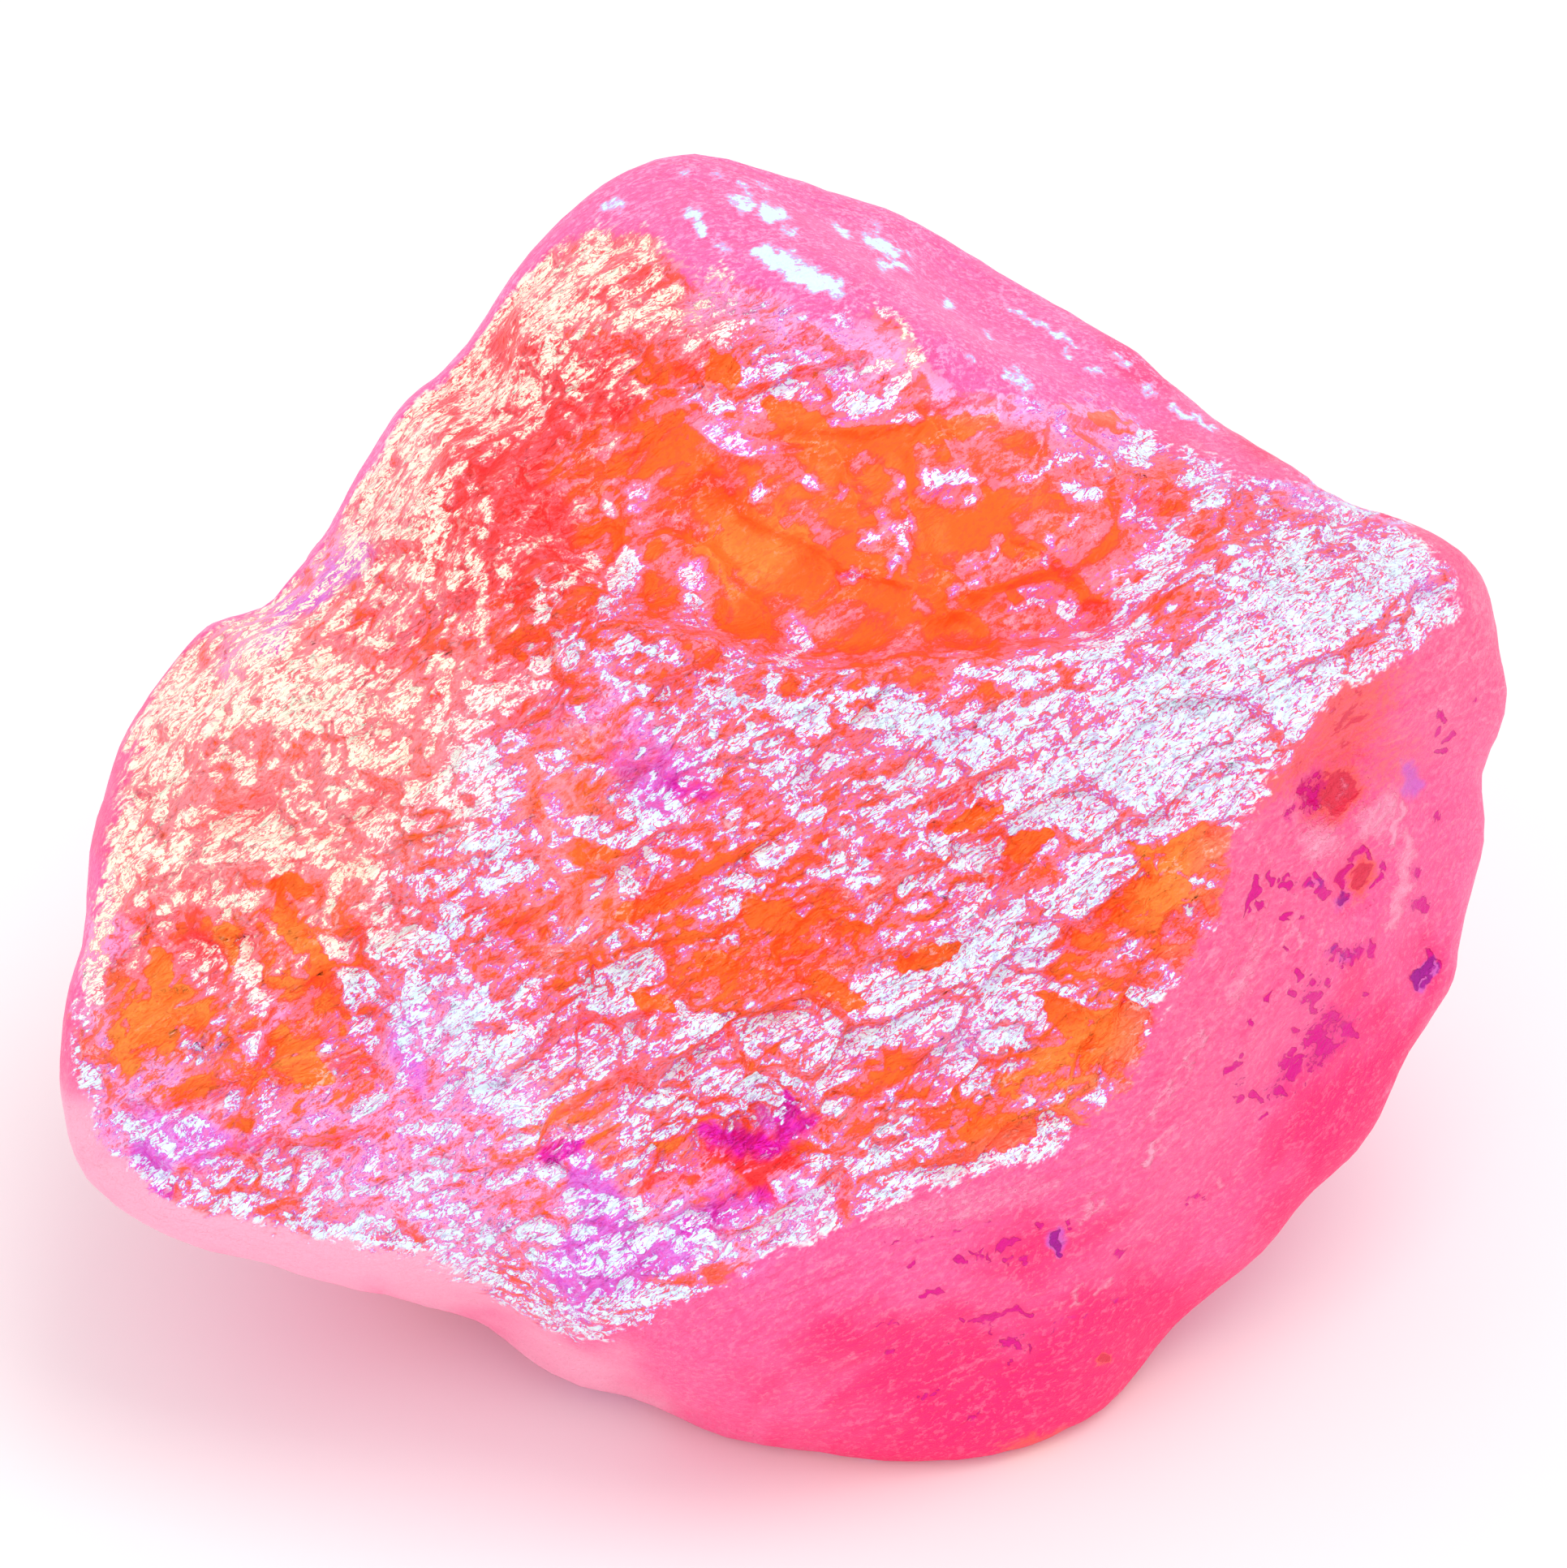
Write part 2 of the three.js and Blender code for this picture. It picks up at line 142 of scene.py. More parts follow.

# Soft zones on the break: across, along, half-length, half-width, turn in degrees, strength.
# The sheen zones raise the break's tint, so that their flakes take the painted highlight.
SHEEN = [
    (18.6, 7.4, 5.2, 1.9, 18, 1.5), (13.6, 3.4, 5.6, 2.6, 28, 1.7), (14.6, 0.4, 2.6, 1.9, 45, 1.5),
    (6.4, 2.7, 5.2, 1.1, 2, 1.2), (9.8, 0.6, 4.6, 1.5, 30, 1), (1, 1.7, 3.2, 1.3, 10, 0.75),
    (-2.4, 3.6, 2.6, 1.2, -30, 0.5), (2.4, -1.9, 3.8, 1.3, 32, 0.72), (6.1, -5, 4.2, 1.5, 36, 1.3),
    (9.6, -3.4, 3.4, 1, 38, 1.05), (6.6, -8, 1.9, 1.5, 20, 0.8), (0.9, -9.2, 1.6, 0.5, 22, 0.5),
    (-4.4, -8.6, 2.3, 1.4, 10, 0.5), (-4.1, 0.1, 2.5, 1.3, 20, 0.45), (12.4, -5.4, 1.4, 0.9, 20, 0.6),
    (4.4, -11.9, 3.2, 1, 22, 0.7), (-5.2, -14.4, 2.8, 2.1, 10, 0.34), (-6, -17.4, 2.1, 0.8, 15, 0.6),
    (-9.2, -15.6, 2.2, 1.1, 0, 0.25), (-14, -13.4, 4.6, 1.1, -5, 0.25), (-19.6, -12.6, 2.4, 1, -10, 0.15),
    (-9.8, -8.4, 2.7, 2.4, 25, 0.55), (-12.8, -7, 1.5, 3, -10, 0.5), (-11.2, -3.4, 3.4, 1.4, 20, 0.5),
    (-15, 3.9, 4.4, 1.2, -8, 0.95), (-10.6, 2, 2.4, 1.9, 0, 0.95), (-19.6, 3.6, 2.9, 1.5, 35, 0.75),
    (-22, 1.4, 1.3, 2, 0, 0.6), (-22.6, -2, 0.9, 2, 0, 0.45), (-17.4, -0.6, 4.2, 1.1, 24, 0.5),
    (-10, -0.6, 1.3, 1.2, 0, 0.5), (-13.2, 12.4, 3.4, 1.1, 60, 0.7), (-9, 14.8, 2, 0.9, 10, 0.7),
    (-7.7, 18, 1.5, 1.6, 0, 0.8), (-5.2, 19.5, 2.6, 0.6, -8, 0.9), (-5.8, 16.8, 2.3, 0.6, 5, 0.6),
    (-2.8, 16.6, 2.2, 0.9, -25, 0.45), (-13.8, 9.4, 1.8, 1.6, 30, 0.55), (-11.6, 8, 2, 1.3, 0, 0.5),
    (-17.2, 6.2, 2.6, 0.8, 10, 0.4), (-5.5, 8.3, 0.5, 1.2, -15, 1.3), (5.6, 11.4, 0.6, 0.35, 10, 1.5),
    (4.2, 9.9, 0.3, 2.2, -4, 0.9), (0.8, 5.7, 0.5, 0.7, -30, 1.2), (13, 8.8, 2.2, 0.9, 10, 0.5),
    (13.4, 12.4, 3, 0.8, -28, 0.55), (-3.3, 8, 0.8, 0.9, 0, 0.6), (-1, 14.6, 1.6, 0.8, 20, 0.45),
    (2.6, 14, 1.6, 0.4, 12, 0.6), (9.8, 6.2, 2.8, 0.4, 18, 0.6),
]
EMBER = [
    (3, 9.4, 9.8, 4.2, -6, 0.95), (13.8, -1.9, 3.2, 1.8, 25, 1.1), (12.4, -4, 2.4, 2, 40, 1),
    (10.6, -8.2, 2.6, 2.3, 50, 1.1), (7, -10.6, 3.6, 1.5, 25, 1), (7.4, -1.9, 3.8, 1.3, 28, 0.8),
    (-0.4, -3.7, 4.2, 2.3, 22, 0.8), (2.6, -6.4, 2.6, 1.2, 20, 0.5), (-21.4, -7.7, 2.3, 2.2, 0, 0.7),
    (-16.5, -8.4, 1.8, 1.5, 0, 0.6), (-16.6, -4.6, 2.2, 2.2, 0, 0.4), (-6.6, -11.4, 2.4, 0.9, 0, 0.6),
    (-0.9, -12.5, 2.4, 0.7, 5, 0.7), (3.4, -9, 1.2, 1.6, 20, 0.5), (-1.4, -9.6, 2.4, 0.7, 20, 0.5),
    (-7.3, -0.6, 1.7, 4.6, 5, 0.45), (-19, -10.4, 4, 1.2, -5, 0.3),
]
GOLD = [
    (-21.6, -7.6, 3, 2.4, 0, 1.2), (-16.4, -8.8, 2, 1.9, 0, 1.2), (-17.6, -5, 3, 1.9, 20, 0.9),
    (-8.4, -10.9, 1.9, 1, 20, 1.2), (-4.4, -11, 2.4, 0.7, 0, 0.8), (10.4, -9.4, 3.4, 2.2, 45, 0.8),
    (13.6, -2.4, 3, 1.6, 30, 0.8), (-0.8, 9.4, 2.2, 1.8, 0, 0.7),
]
FLUSH = [
    (-17, 1, 8, 5.4, 10, 1), (-7.4, -1, 2, 4.6, 5, 1.1), (-9.4, -11, 4.2, 3, 0, 0.9),
    (-12, 9, 3, 2.4, 50, 0.5), (2.6, 15.6, 1.8, 1, 0, 1.2),
]
CRIMSON = [
    (-9.8, 13.2, 2.2, 4.4, -15, 1.7), (-9.8, 9.4, 2.8, 2.8, 0, 1), (-6.4, 14.4, 2, 1.2, 0, 0.8),
    (-5.6, 18, 2, 1.2, 0, 0.7), (-3.2, -2.4, 3.4, 2.6, 20, 0.4), (-1, -12.4, 1.8, 0.6, 10, 1.2),
    (-3.4, -12.6, 1.6, 0.7, 0, 0.7), (-20.2, -4.6, 0.9, 2.4, 0, 0.7), (7, 4.6, 0.8, 0.5, 0, 0.5),
]
VIOLET = [
    (-6.4, -14.8, 1.5, 2.2, 0, 1.3), (-4.6, -15.6, 2.4, 1.2, 20, 0.9), (-0.4, -11.2, 0.7, 0.5, 0, 0.9),
    (-4.3, 1.3, 3, 1.8, -15, 0.6), (-7.6, 3.8, 1.6, 1.6, 0, 0.4), (-21.8, -12.9, 0.9, 0.8, 0, 1.5),
    (-20.6, -11.2, 3.6, 0.8, -8, 0.6), (-12.8, -8.2, 0.8, 2.4, -12, 0.7), (-16.2, 7.6, 2.6, 0.9, 45, 0.8),
    (-1.6, -13.6, 3.4, 1, 15, 0.5),
]
ORCHID = [
    (-10.6, -13.4, 6.6, 2.4, -8, 1), (-22, -10.8, 3.4, 1.8, 0, 1.1), (-7.2, -14.6, 2.6, 2.4, 0, 0.8),
    (-12.4, -8.4, 1.8, 3, -14, 0.9), (-13.4, -11.2, 4.4, 2, 0, 1.2), (-5.6, 3, 3.2, 1.6, -20, 0.6),
    (-19, 6.4, 2, 1.6, 40, 0.7), (-24.2, -3, 0.9, 7, 6, 1), (-16.6, 8, 3, 1, 45, 1.1),
    (1.6, 16.4, 4.6, 1.4, -25, 1.1), (8.8, 14.2, 4.6, 1.3, -10, 1.1), (17, 11.4, 3.6, 1, -25, 0.8),
    (-9, -10, 1.3, 1, 0, 0.8), (-18.4, -8, 0.5, 2.2, -15, 0.8), (-3, 13, 1.4, 1.8, 30, 0.5),
    (-2, -14.2, 3.6, 1.9, 15, 1.1), (-1, 17.6, 3.4, 1.4, -25, 1), (6, -8.2, 3, 0.9, 25, 0.5),
    (22, 7.6, 1.4, 1.2, 0, 0.6),
]
BASIN = [(3.4, 9.6, 10.4, 5.2, -6, 1), (5.6, 16.2, 9.6, 1.9, -28, 1), (-7.6, -0.8, 1.2, 4, 8, 0.6)]
# The warm zone, where the painted highlights turn cream.
WARM = [(4.6, 16, 1.5, 2.2, 8, 1)]

# Soft zones on the rind, written the same way; the hollows' strength is their depth in millimetres.
# The hot zones paint the rind a deeper pink, as painted shade, low on the right and along the top outline.
HOT = [
    (11, -20.4, 9, 3.6, 20, 1.1), (20.6, -11.4, 5, 3.2, 52, 1), (4, -19, 5, 2.2, 0, 0.7),
    (5.4, 20.2, 4.8, 0.7, -27, 0.8), (12.4, 16, 3.8, 0.8, -37, 1), (18.4, 12.4, 4, 0.8, -28, 0.9),
    (-2, 23, 3.4, 0.5, 0, 0.5), (20, -6.6, 2, 1.4, 50, 0.5), (9, -15.2, 3.6, 1.4, 28, 0.55),
]
PALE = [
    (-17.4, -14.8, 9, 2, -14, 1), (-7.6, -20, 4.6, 2.2, -38, 0.7), (-24, -11, 2.4, 1.6, -40, 0.8),
]
PITTING = [
    (18.8, -7.9, 1.6, 0.9, 50, 0.9), (19.7, -5, 1.1, 0.5, 12, 0.8), (17.5, -9.2, 1.5, 0.7, 60, 0.8),
    (18.3, -6.4, 1.1, 0.6, 50, 0.6), (22.1, -3.3, 0.4, 0.4, 0, 0.9), (22, -2.2, 0.4, 0.3, 0, 0.7),
    (17.9, -2.6, 1.6, 0.5, 0, 0.5), (7.9, -18.2, 1, 1, 0, 0.5), (15.8, -9.5, 0.9, 0.7, 60, 0.5),
    (18.3, 0.6, 0.5, 0.9, -10, 1.2), (17.6, -0.2, 0.2, 0.4, 0, 1), (4.4, -19, 3.4, 1.6, 20, 0.35),
]
RUST = [
    (19.6, 3.3, 2.4, 1.5, 55, 1), (17.5, 1.4, 2.2, 0.6, 48, 0.9), (19.1, 0.6, 1.1, 0.9, 35, 1.6),
    (20.1, -2.3, 0.4, 0.8, -15, 1.5), (11.1, -19.1, 0.18, 0.18, 0, 2), (20.9, 1.6, 1.6, 1, 40, 0.5),
    (9, -21.9, 1.6, 0.3, 12, 1),
]
STAIN = [
    (21.8, 1, 0.5, 0.85, 10, 1), (22.3, -5.7, 0.34, 0.7, -25, 1.8), (9.5, -15, 0.4, 0.5, 15, 1.3),
    (19.7, -5, 1, 0.4, 10, 0.7), (19.4, -3.2, 0.3, 0.5, -15, 0.9), (18.4, -2.6, 0.6, 0.4, 10, 0.6),
]
HOLLOWS = [
    (19.3, 0.7, 1.3, 0.9, 40, 0.55), (19.8, -2.6, 0.5, 0.9, -10, 0.3), (22.4, -5.4, 0.5, 0.9, -15, 0.4),
    (21.9, 1, 0.5, 1, 0, 0.2), (9.2, -15, 0.5, 0.4, 0, 0.15), (19.9, -5.1, 0.9, 0.4, 15, 0.15),
    (8, -18.1, 1.1, 0.9, 0, 0.15), (18.4, -8, 1.8, 0.8, 55, 0.12),
]

# Strokes on the break: strength, half-width and the points that the stroke runs through.
# The glints are painted highlights.
GLINTS = [
    (1.2, 0.2, (4.99, 11.26), (5.5, 11.51), (6.18, 11.54)), (0.9, 0.13, (4.32, 9.99), (4.15, 9.26)),
    (0.6, 0.1, (4.04, 8.86), (3.84, 8.36), (3.56, 8.02)),
    (0.95, 0.17, (2.07, 18.01), (3.19, 17.64), (4.04, 17.14)),
    (0.9, 0.2, (4.04, 17.14), (4.74, 16.52), (4.83, 15.9), (4.49, 15.28)),
    (0.7, 0.14, (4.49, 15.28), (3.93, 14.55), (3.53, 13.99)), (1, 0.25, (2.01, 14.04), (2.91, 13.99)),
    (0.7, 0.14, (3.93, 13.42), (4.66, 13.7)), (0.6, 0.14, (2.74, 15.05), (3.59, 15.34)),
    (1.1, 0.23, (-2.49, 13.93), (-2.1, 14.04)), (0.6, 0.17, (-0.41, 14.89), (0.3, 15.17)),
    (0.8, 0.17, (0.72, 11.4), (1.17, 11.17)), (0.9, 0.11, (2.12, 11.17), (1.96, 10.83)),
    (1.2, 0.23, (-5.14, 8.92), (-5.64, 8.41), (-5.84, 7.68)), (0.8, 0.14, (-6.32, 7.23), (-6.15, 6.89)),
    (0.9, 0.11, (-6.43, 7.74), (-6.32, 7.68)), (0.8, 0.17, (-6.82, 8.81), (-6.37, 8.47)),
    (0.7, 0.14, (-7.72, 7.79), (-7.16, 8.02)), (0.9, 0.2, (-3.42, 7.29), (-2.94, 7.18)),
    (0.45, 0.45, (-2.77, 8.64), (-3.33, 7.91)), (1.1, 0.2, (0.77, 5.88), (0.66, 5.54)),
    (0.8, 0.14, (-0.13, 5.09), (0.55, 5.37)), (1, 0.2, (-0.41, 4.7), (-0.24, 4.25)),
    (1.1, 0.13, (-2.27, 4.08), (-1.48, 3.69), (-0.55, 3.74), (0.3, 3.52), (1, 3.57)),
    (1, 0.17, (-5.7, 5.94), (-4.97, 5.66)), (0.9, 0.17, (-4.74, 5.54), (-4.29, 5.32)),
    (1, 0.13, (1.06, 3.63), (2.69, 3.91), (3.81, 4.25)), (1, 0.14, (6.06, 4.81), (7.33, 4.7), (9.44, 4.56)),
    (0.8, 0.11, (7.89, 5.04), (10, 5.21)),
    (1.1, 0.2, (10.29, 4.53), (10.9, 5.32), (12.14, 6.11), (12.59, 6.61)),
    (1.1, 0.17, (12.54, 8.47), (13.44, 8.81)), (0.9, 0.17, (13.38, 9.15), (14, 9.03)),
    (1, 0.17, (11.64, 7.46), (12.03, 7.74)), (1, 0.17, (9.67, 6.78), (10.17, 7.01)),
    (0.7, 0.08, (7.81, 7.01), (9.1, 7.18)), (0.6, 0.08, (9.22, 9.48), (9.16, 8.36)),
    (0.7, 0.1, (9.95, 9.82), (10.29, 10.21)), (0.6, 0.08, (8.37, 11.4), (10.29, 12.41)),
    (0.9, 0.14, (6.29, 10.55), (6.68, 10.72)), (0.8, 0.2, (9.72, 11.06), (10.9, 10.83)),
    (1, 0.23, (12.2, 12.52), (12.59, 11.96)), (0.9, 0.23, (13.8, 11.4), (14.51, 11.45)),
    (0.9, 0.17, (14.17, 10.67), (15.29, 10.72)), (0.5, 0.08, (11.64, 13.37), (12.54, 13.03)),
    (0.7, 0.11, (2.63, 9.15), (3.31, 9.54)), (0.7, 0.11, (1.96, 7.91), (2.63, 8.19)),
    (0.8, 0.1, (-0.8, 11.28), (-0.91, 10.72)), (0.6, 0.08, (6.77, 8.36), (7.47, 9.03)),
    (0.5, 0.08, (5.78, 7.18), (6.06, 7.63)), (1, 0.2, (-19.43, -3.4), (-18.42, -2.9)),
    (0.9, 0.17, (-17.8, -2), (-16.79, -1.35)), (1, 0.25, (-15.49, -2.22), (-13.86, -1.89)),
    (0.9, 0.2, (-16.28, -1.04), (-16.22, -1.55)), (0.8, 0.14, (-16.79, -5.43), (-16.56, -5.04)),
    (1, 0.28, (-14.48, -4.92), (-12.62, -4.31)), (0.9, 0.23, (-20.89, -0.42), (-19.77, -0.08)),
    (0.9, 0.25, (-19.66, -0.65), (-18.7, -0.31)), (0.9, 0.25, (-18.42, -0.93), (-17.57, -1.1)),
    (0.9, 0.28, (-14.48, 1.72), (-13.07, 1.89)), (0.9, 0.34, (-11.38, 1.6), (-9.98, 1.89)),
    (0.9, 0.25, (-17.57, 3.29), (-15.89, 3.18)), (0.8, 0.2, (-10.54, 1.04), (-10.26, -0.08)),
    (0.8, 0.17, (-22.08, -1.21), (-21.63, -1.55)), (0.8, 0.2, (-22.92, -1.21), (-22.69, -2.62)),
    (0.9, 0.17, (-23.76, -3.74), (-23.2, -4.31)), (0.8, 0.17, (-10.26, -1.21), (-9.13, -0.93)),
    (0.9, 0.23, (-11.8, -3.46), (-11.38, -4.31)), (0.8, 0.23, (-13.35, -6.84), (-11.95, -5.99)),
    (0.9, 0.23, (-11.95, -7.68), (-10.26, -7.12)), (0.8, 0.23, (-10.82, -8.53), (-9.13, -7.96)),
    (0.9, 0.2, (-15.04, -10.78), (-13.92, -9.93)), (0.8, 0.17, (-13.07, -11.06), (-11.38, -10.95)),
    (0.8, 0.17, (-11.38, -9.37), (-9.69, -9.54)),
]
BARS = [
    (0.9, 0.25, (-18.53, -3.69), (-18.28, -5.15), (-18.81, -6.25)),
    (0.9, 0.23, (-20.44, -4.59), (-20.11, -5.88), (-19.43, -6.61)),
    (0.8, 0.25, (-19.04, -7.74), (-18.14, -8.47), (-17.63, -9.26)),
    (1, 0.51, (-20.61, -8.08), (-19.94, -8.53)), (1, 0.45, (-15.89, -7.4), (-15.38, -8.53), (-15.1, -9.65)),
    (0.7, 0.23, (-21.51, -3.46), (-21.63, -4.31)), (0.9, 0.5, (-2.38, 13.2), (-0.97, 12.41), (0.58, 11.68)),
    (0.6, 0.51, (-1.82, 12.3), (-1.67, 11.17)), (0.7, 0.45, (-5.08, 11.17), (-4.63, 9.48)),
    (0.5, 0.73, (8.17, 10.05), (8.46, 9.48)), (0.9, 0.73, (12.11, 11.17), (12.59, 10.05)),
    (0.6, 0.62, (9.44, 8.64), (10.29, 8.36)), (0.5, 0.62, (7.75, 7.63), (9.44, 7.46)),
    (0.6, 0.45, (2.69, 10.89), (3.25, 10.33)),
    (0.8, 0.14, (2.77, 12.24), (3.7, 11.73), (4.15, 11.12), (4.32, 10.16)),
    (0.8, 0.11, (6.23, 11.51), (6.96, 11.28), (8.03, 11.26)),
    (0.6, 0.28, (1.96, 3.69), (2.12, 4.7), (1.84, 5.54)), (0.5, 0.39, (-2.77, 6.22), (-2.38, 6.56)),
    (0.5, 0.45, (6.06, 7.79), (6.63, 8.64)), (0.8, 0.39, (-6.88, -5.71), (-6.71, -7.4), (-6.46, -9.37)),
    (0.6, 0.34, (-7.72, 2.45), (-7.89, -0.08), (-7.44, -2.62)),
]
POCKETS = [
    (1, 0.51, (-2.38, 15.67), (-1.76, 14.83)), (1, 0.62, (-0.41, 13.99), (1.28, 12.86), (2.12, 12.3)),
    (0.8, 0.45, (3.81, 12.86), (7.19, 13.42)), (1, 0.28, (10.71, 13.65), (12.25, 13.14)),
    (1, 0.37, (-21.65, -4.87), (-21.51, -6.56)), (0.9, 0.39, (-19.4, -4.02), (-19.12, -5.15)),
    (1, 0.68, (-22.5, -7.26), (-21.23, -7.46)), (1, 0.56, (-16.73, -8.81), (-15.89, -9.37)),
    (0.7, 0.51, (-17.29, -4.02), (-15.89, -5.43)), (0.8, 0.39, (-17.43, -2.34), (-16.45, -2.9)),
    (0.8, 0.34, (7.75, 7.51), (8.32, 7.18)), (1, 0.56, (-1.25, -3.46), (0.58, -4.02)),
    (0.9, 0.37, (-2.94, -5.15), (-1.67, -5.43)), (0.8, 0.39, (5.78, -0.65), (7.47, -0.08)),
    (0.9, 0.45, (7.75, -1.49), (9.16, -0.93)), (0.9, 0.39, (4.09, -5.43), (6.06, -4.87)),
    (1, 0.62, (11.97, -3.18), (13.94, -2.62)), (1, 0.73, (13.38, -1.77), (15.35, -0.93)),
    (0.9, 0.51, (9.16, -6.56), (10.29, -7.68)), (1, 0.84, (10.57, -8.53), (12.25, -7.12)),
    (0.9, 0.68, (6.35, -11.34), (8.6, -11.06)), (0.8, 0.34, (-5.19, -6.56), (-3.78, -6.84)),
    (0.8, 0.34, (1, -5.71), (2.69, -6.84)), (0.8, 0.39, (-5.75, -3.74), (-4.07, -3.18)),
    (0.7, 0.28, (-7.44, -1.77), (-5.75, -1.49)),
]
MAGENTA = [
    (0.9, 0.5, (-2.9, -11.1), (-1.6, -11.5), (0, -11.75)), (1, 0.38, (0, -11.6), (0.15, -10.9), (0.17, -10)),
    (0.7, 0.42, (0.3, -11.2), (1.1, -10.7)), (0.9, 0.42, (-8.4, -12.1), (-7, -11.6)),
    (0.55, 0.5, (-4, 0.9), (-2.4, 0.4)), (0.6, 0.7, (-3.4, -14.6), (-0.6, -13.4)),
    (0.8, 0.4, (-22.4, -13), (-21.2, -13.4)),
]

# Strokes on the rind, written the same way: pale streaks on the top strip that are painted highlights, dark
# pits and light folds.
STRIP_GLINTS = [
    (0.8, 0.23, (-6.26, 20.91), (-5.53, 21.02)), (0.5, 0.14, (-3.56, 22.06), (-3.17, 21.98)),
    (0.6, 0.17, (-2.49, 22.03), (-1.98, 21.89)), (0.9, 0.14, (-3.36, 20.85), (-3, 20.46), (-2.55, 19.89)),
    (0.8, 0.17, (-1.48, 21.7), (-1.25, 21.41)), (0.9, 0.23, (-1.7, 21.13), (-1.08, 20.88)),
    (1, 0.28, (-0.8, 20.8), (-0.01, 20.51)), (0.7, 0.17, (0.04, 20.18), (0.44, 20.01)),
    (0.5, 0.28, (-2.43, 19.67), (-1.76, 19.33)), (0.6, 0.11, (-0.8, 21.89), (-0.41, 21.39)),
    (0.9, 0.2, (2.74, 20.68), (3.42, 20.06)), (1, 0.25, (2.97, 19.78), (3.98, 19.28)),
    (0.8, 0.17, (1.84, 20.18), (2.24, 19.95)), (0.8, 0.14, (3.31, 18.94), (4.21, 18.77)),
    (0.6, 0.11, (3.98, 19.61), (4.54, 19.11)), (0.8, 0.14, (5.78, 17.59), (5.9, 17.47)),
    (1.1, 0.37, (-0.86, 19.36), (0.04, 18.94), (0.72, 18.43), (2.01, 17.98)),
    (0.8, 0.11, (7.84, 17.36), (8.88, 16.8), (10.06, 16.12)), (0.6, 0.11, (9.72, 16.24), (9.95, 15.67)),
    (0.8, 0.17, (11.64, 15.67), (11.97, 15.51)), (0.7, 0.11, (10.74, 15.34), (11.02, 15.11)),
    (0.7, 0.11, (7.02, 16.52), (7.19, 16.41)), (0.8, 0.11, (13.52, 13.9), (14.22, 13.59), (14.9, 13.25)),
    (0.5, 0.17, (12.54, 14.72), (12.93, 14.27)), (0.6, 0.39, (7.75, 15.17), (8.65, 14.6)),
    (0.6, 0.17, (8.88, 13.65), (9.33, 13.48)), (0.8, 0.17, (17.15, 11.23), (17.6, 11.06)),
    (0.9, 0.23, (18.67, 10.78), (19.46, 10.44), (20.42, 10.16)), (0.7, 0.14, (18.05, 11.06), (18.39, 10.89)),
    (0.5, 0.11, (8.03, 18.15), (8.37, 17.87)), (0.6, 0.14, (20.7, 10.05), (21.54, 9.71)),
    (0.6, 0.11, (6.35, 15.67), (6.74, 15.51)),
]
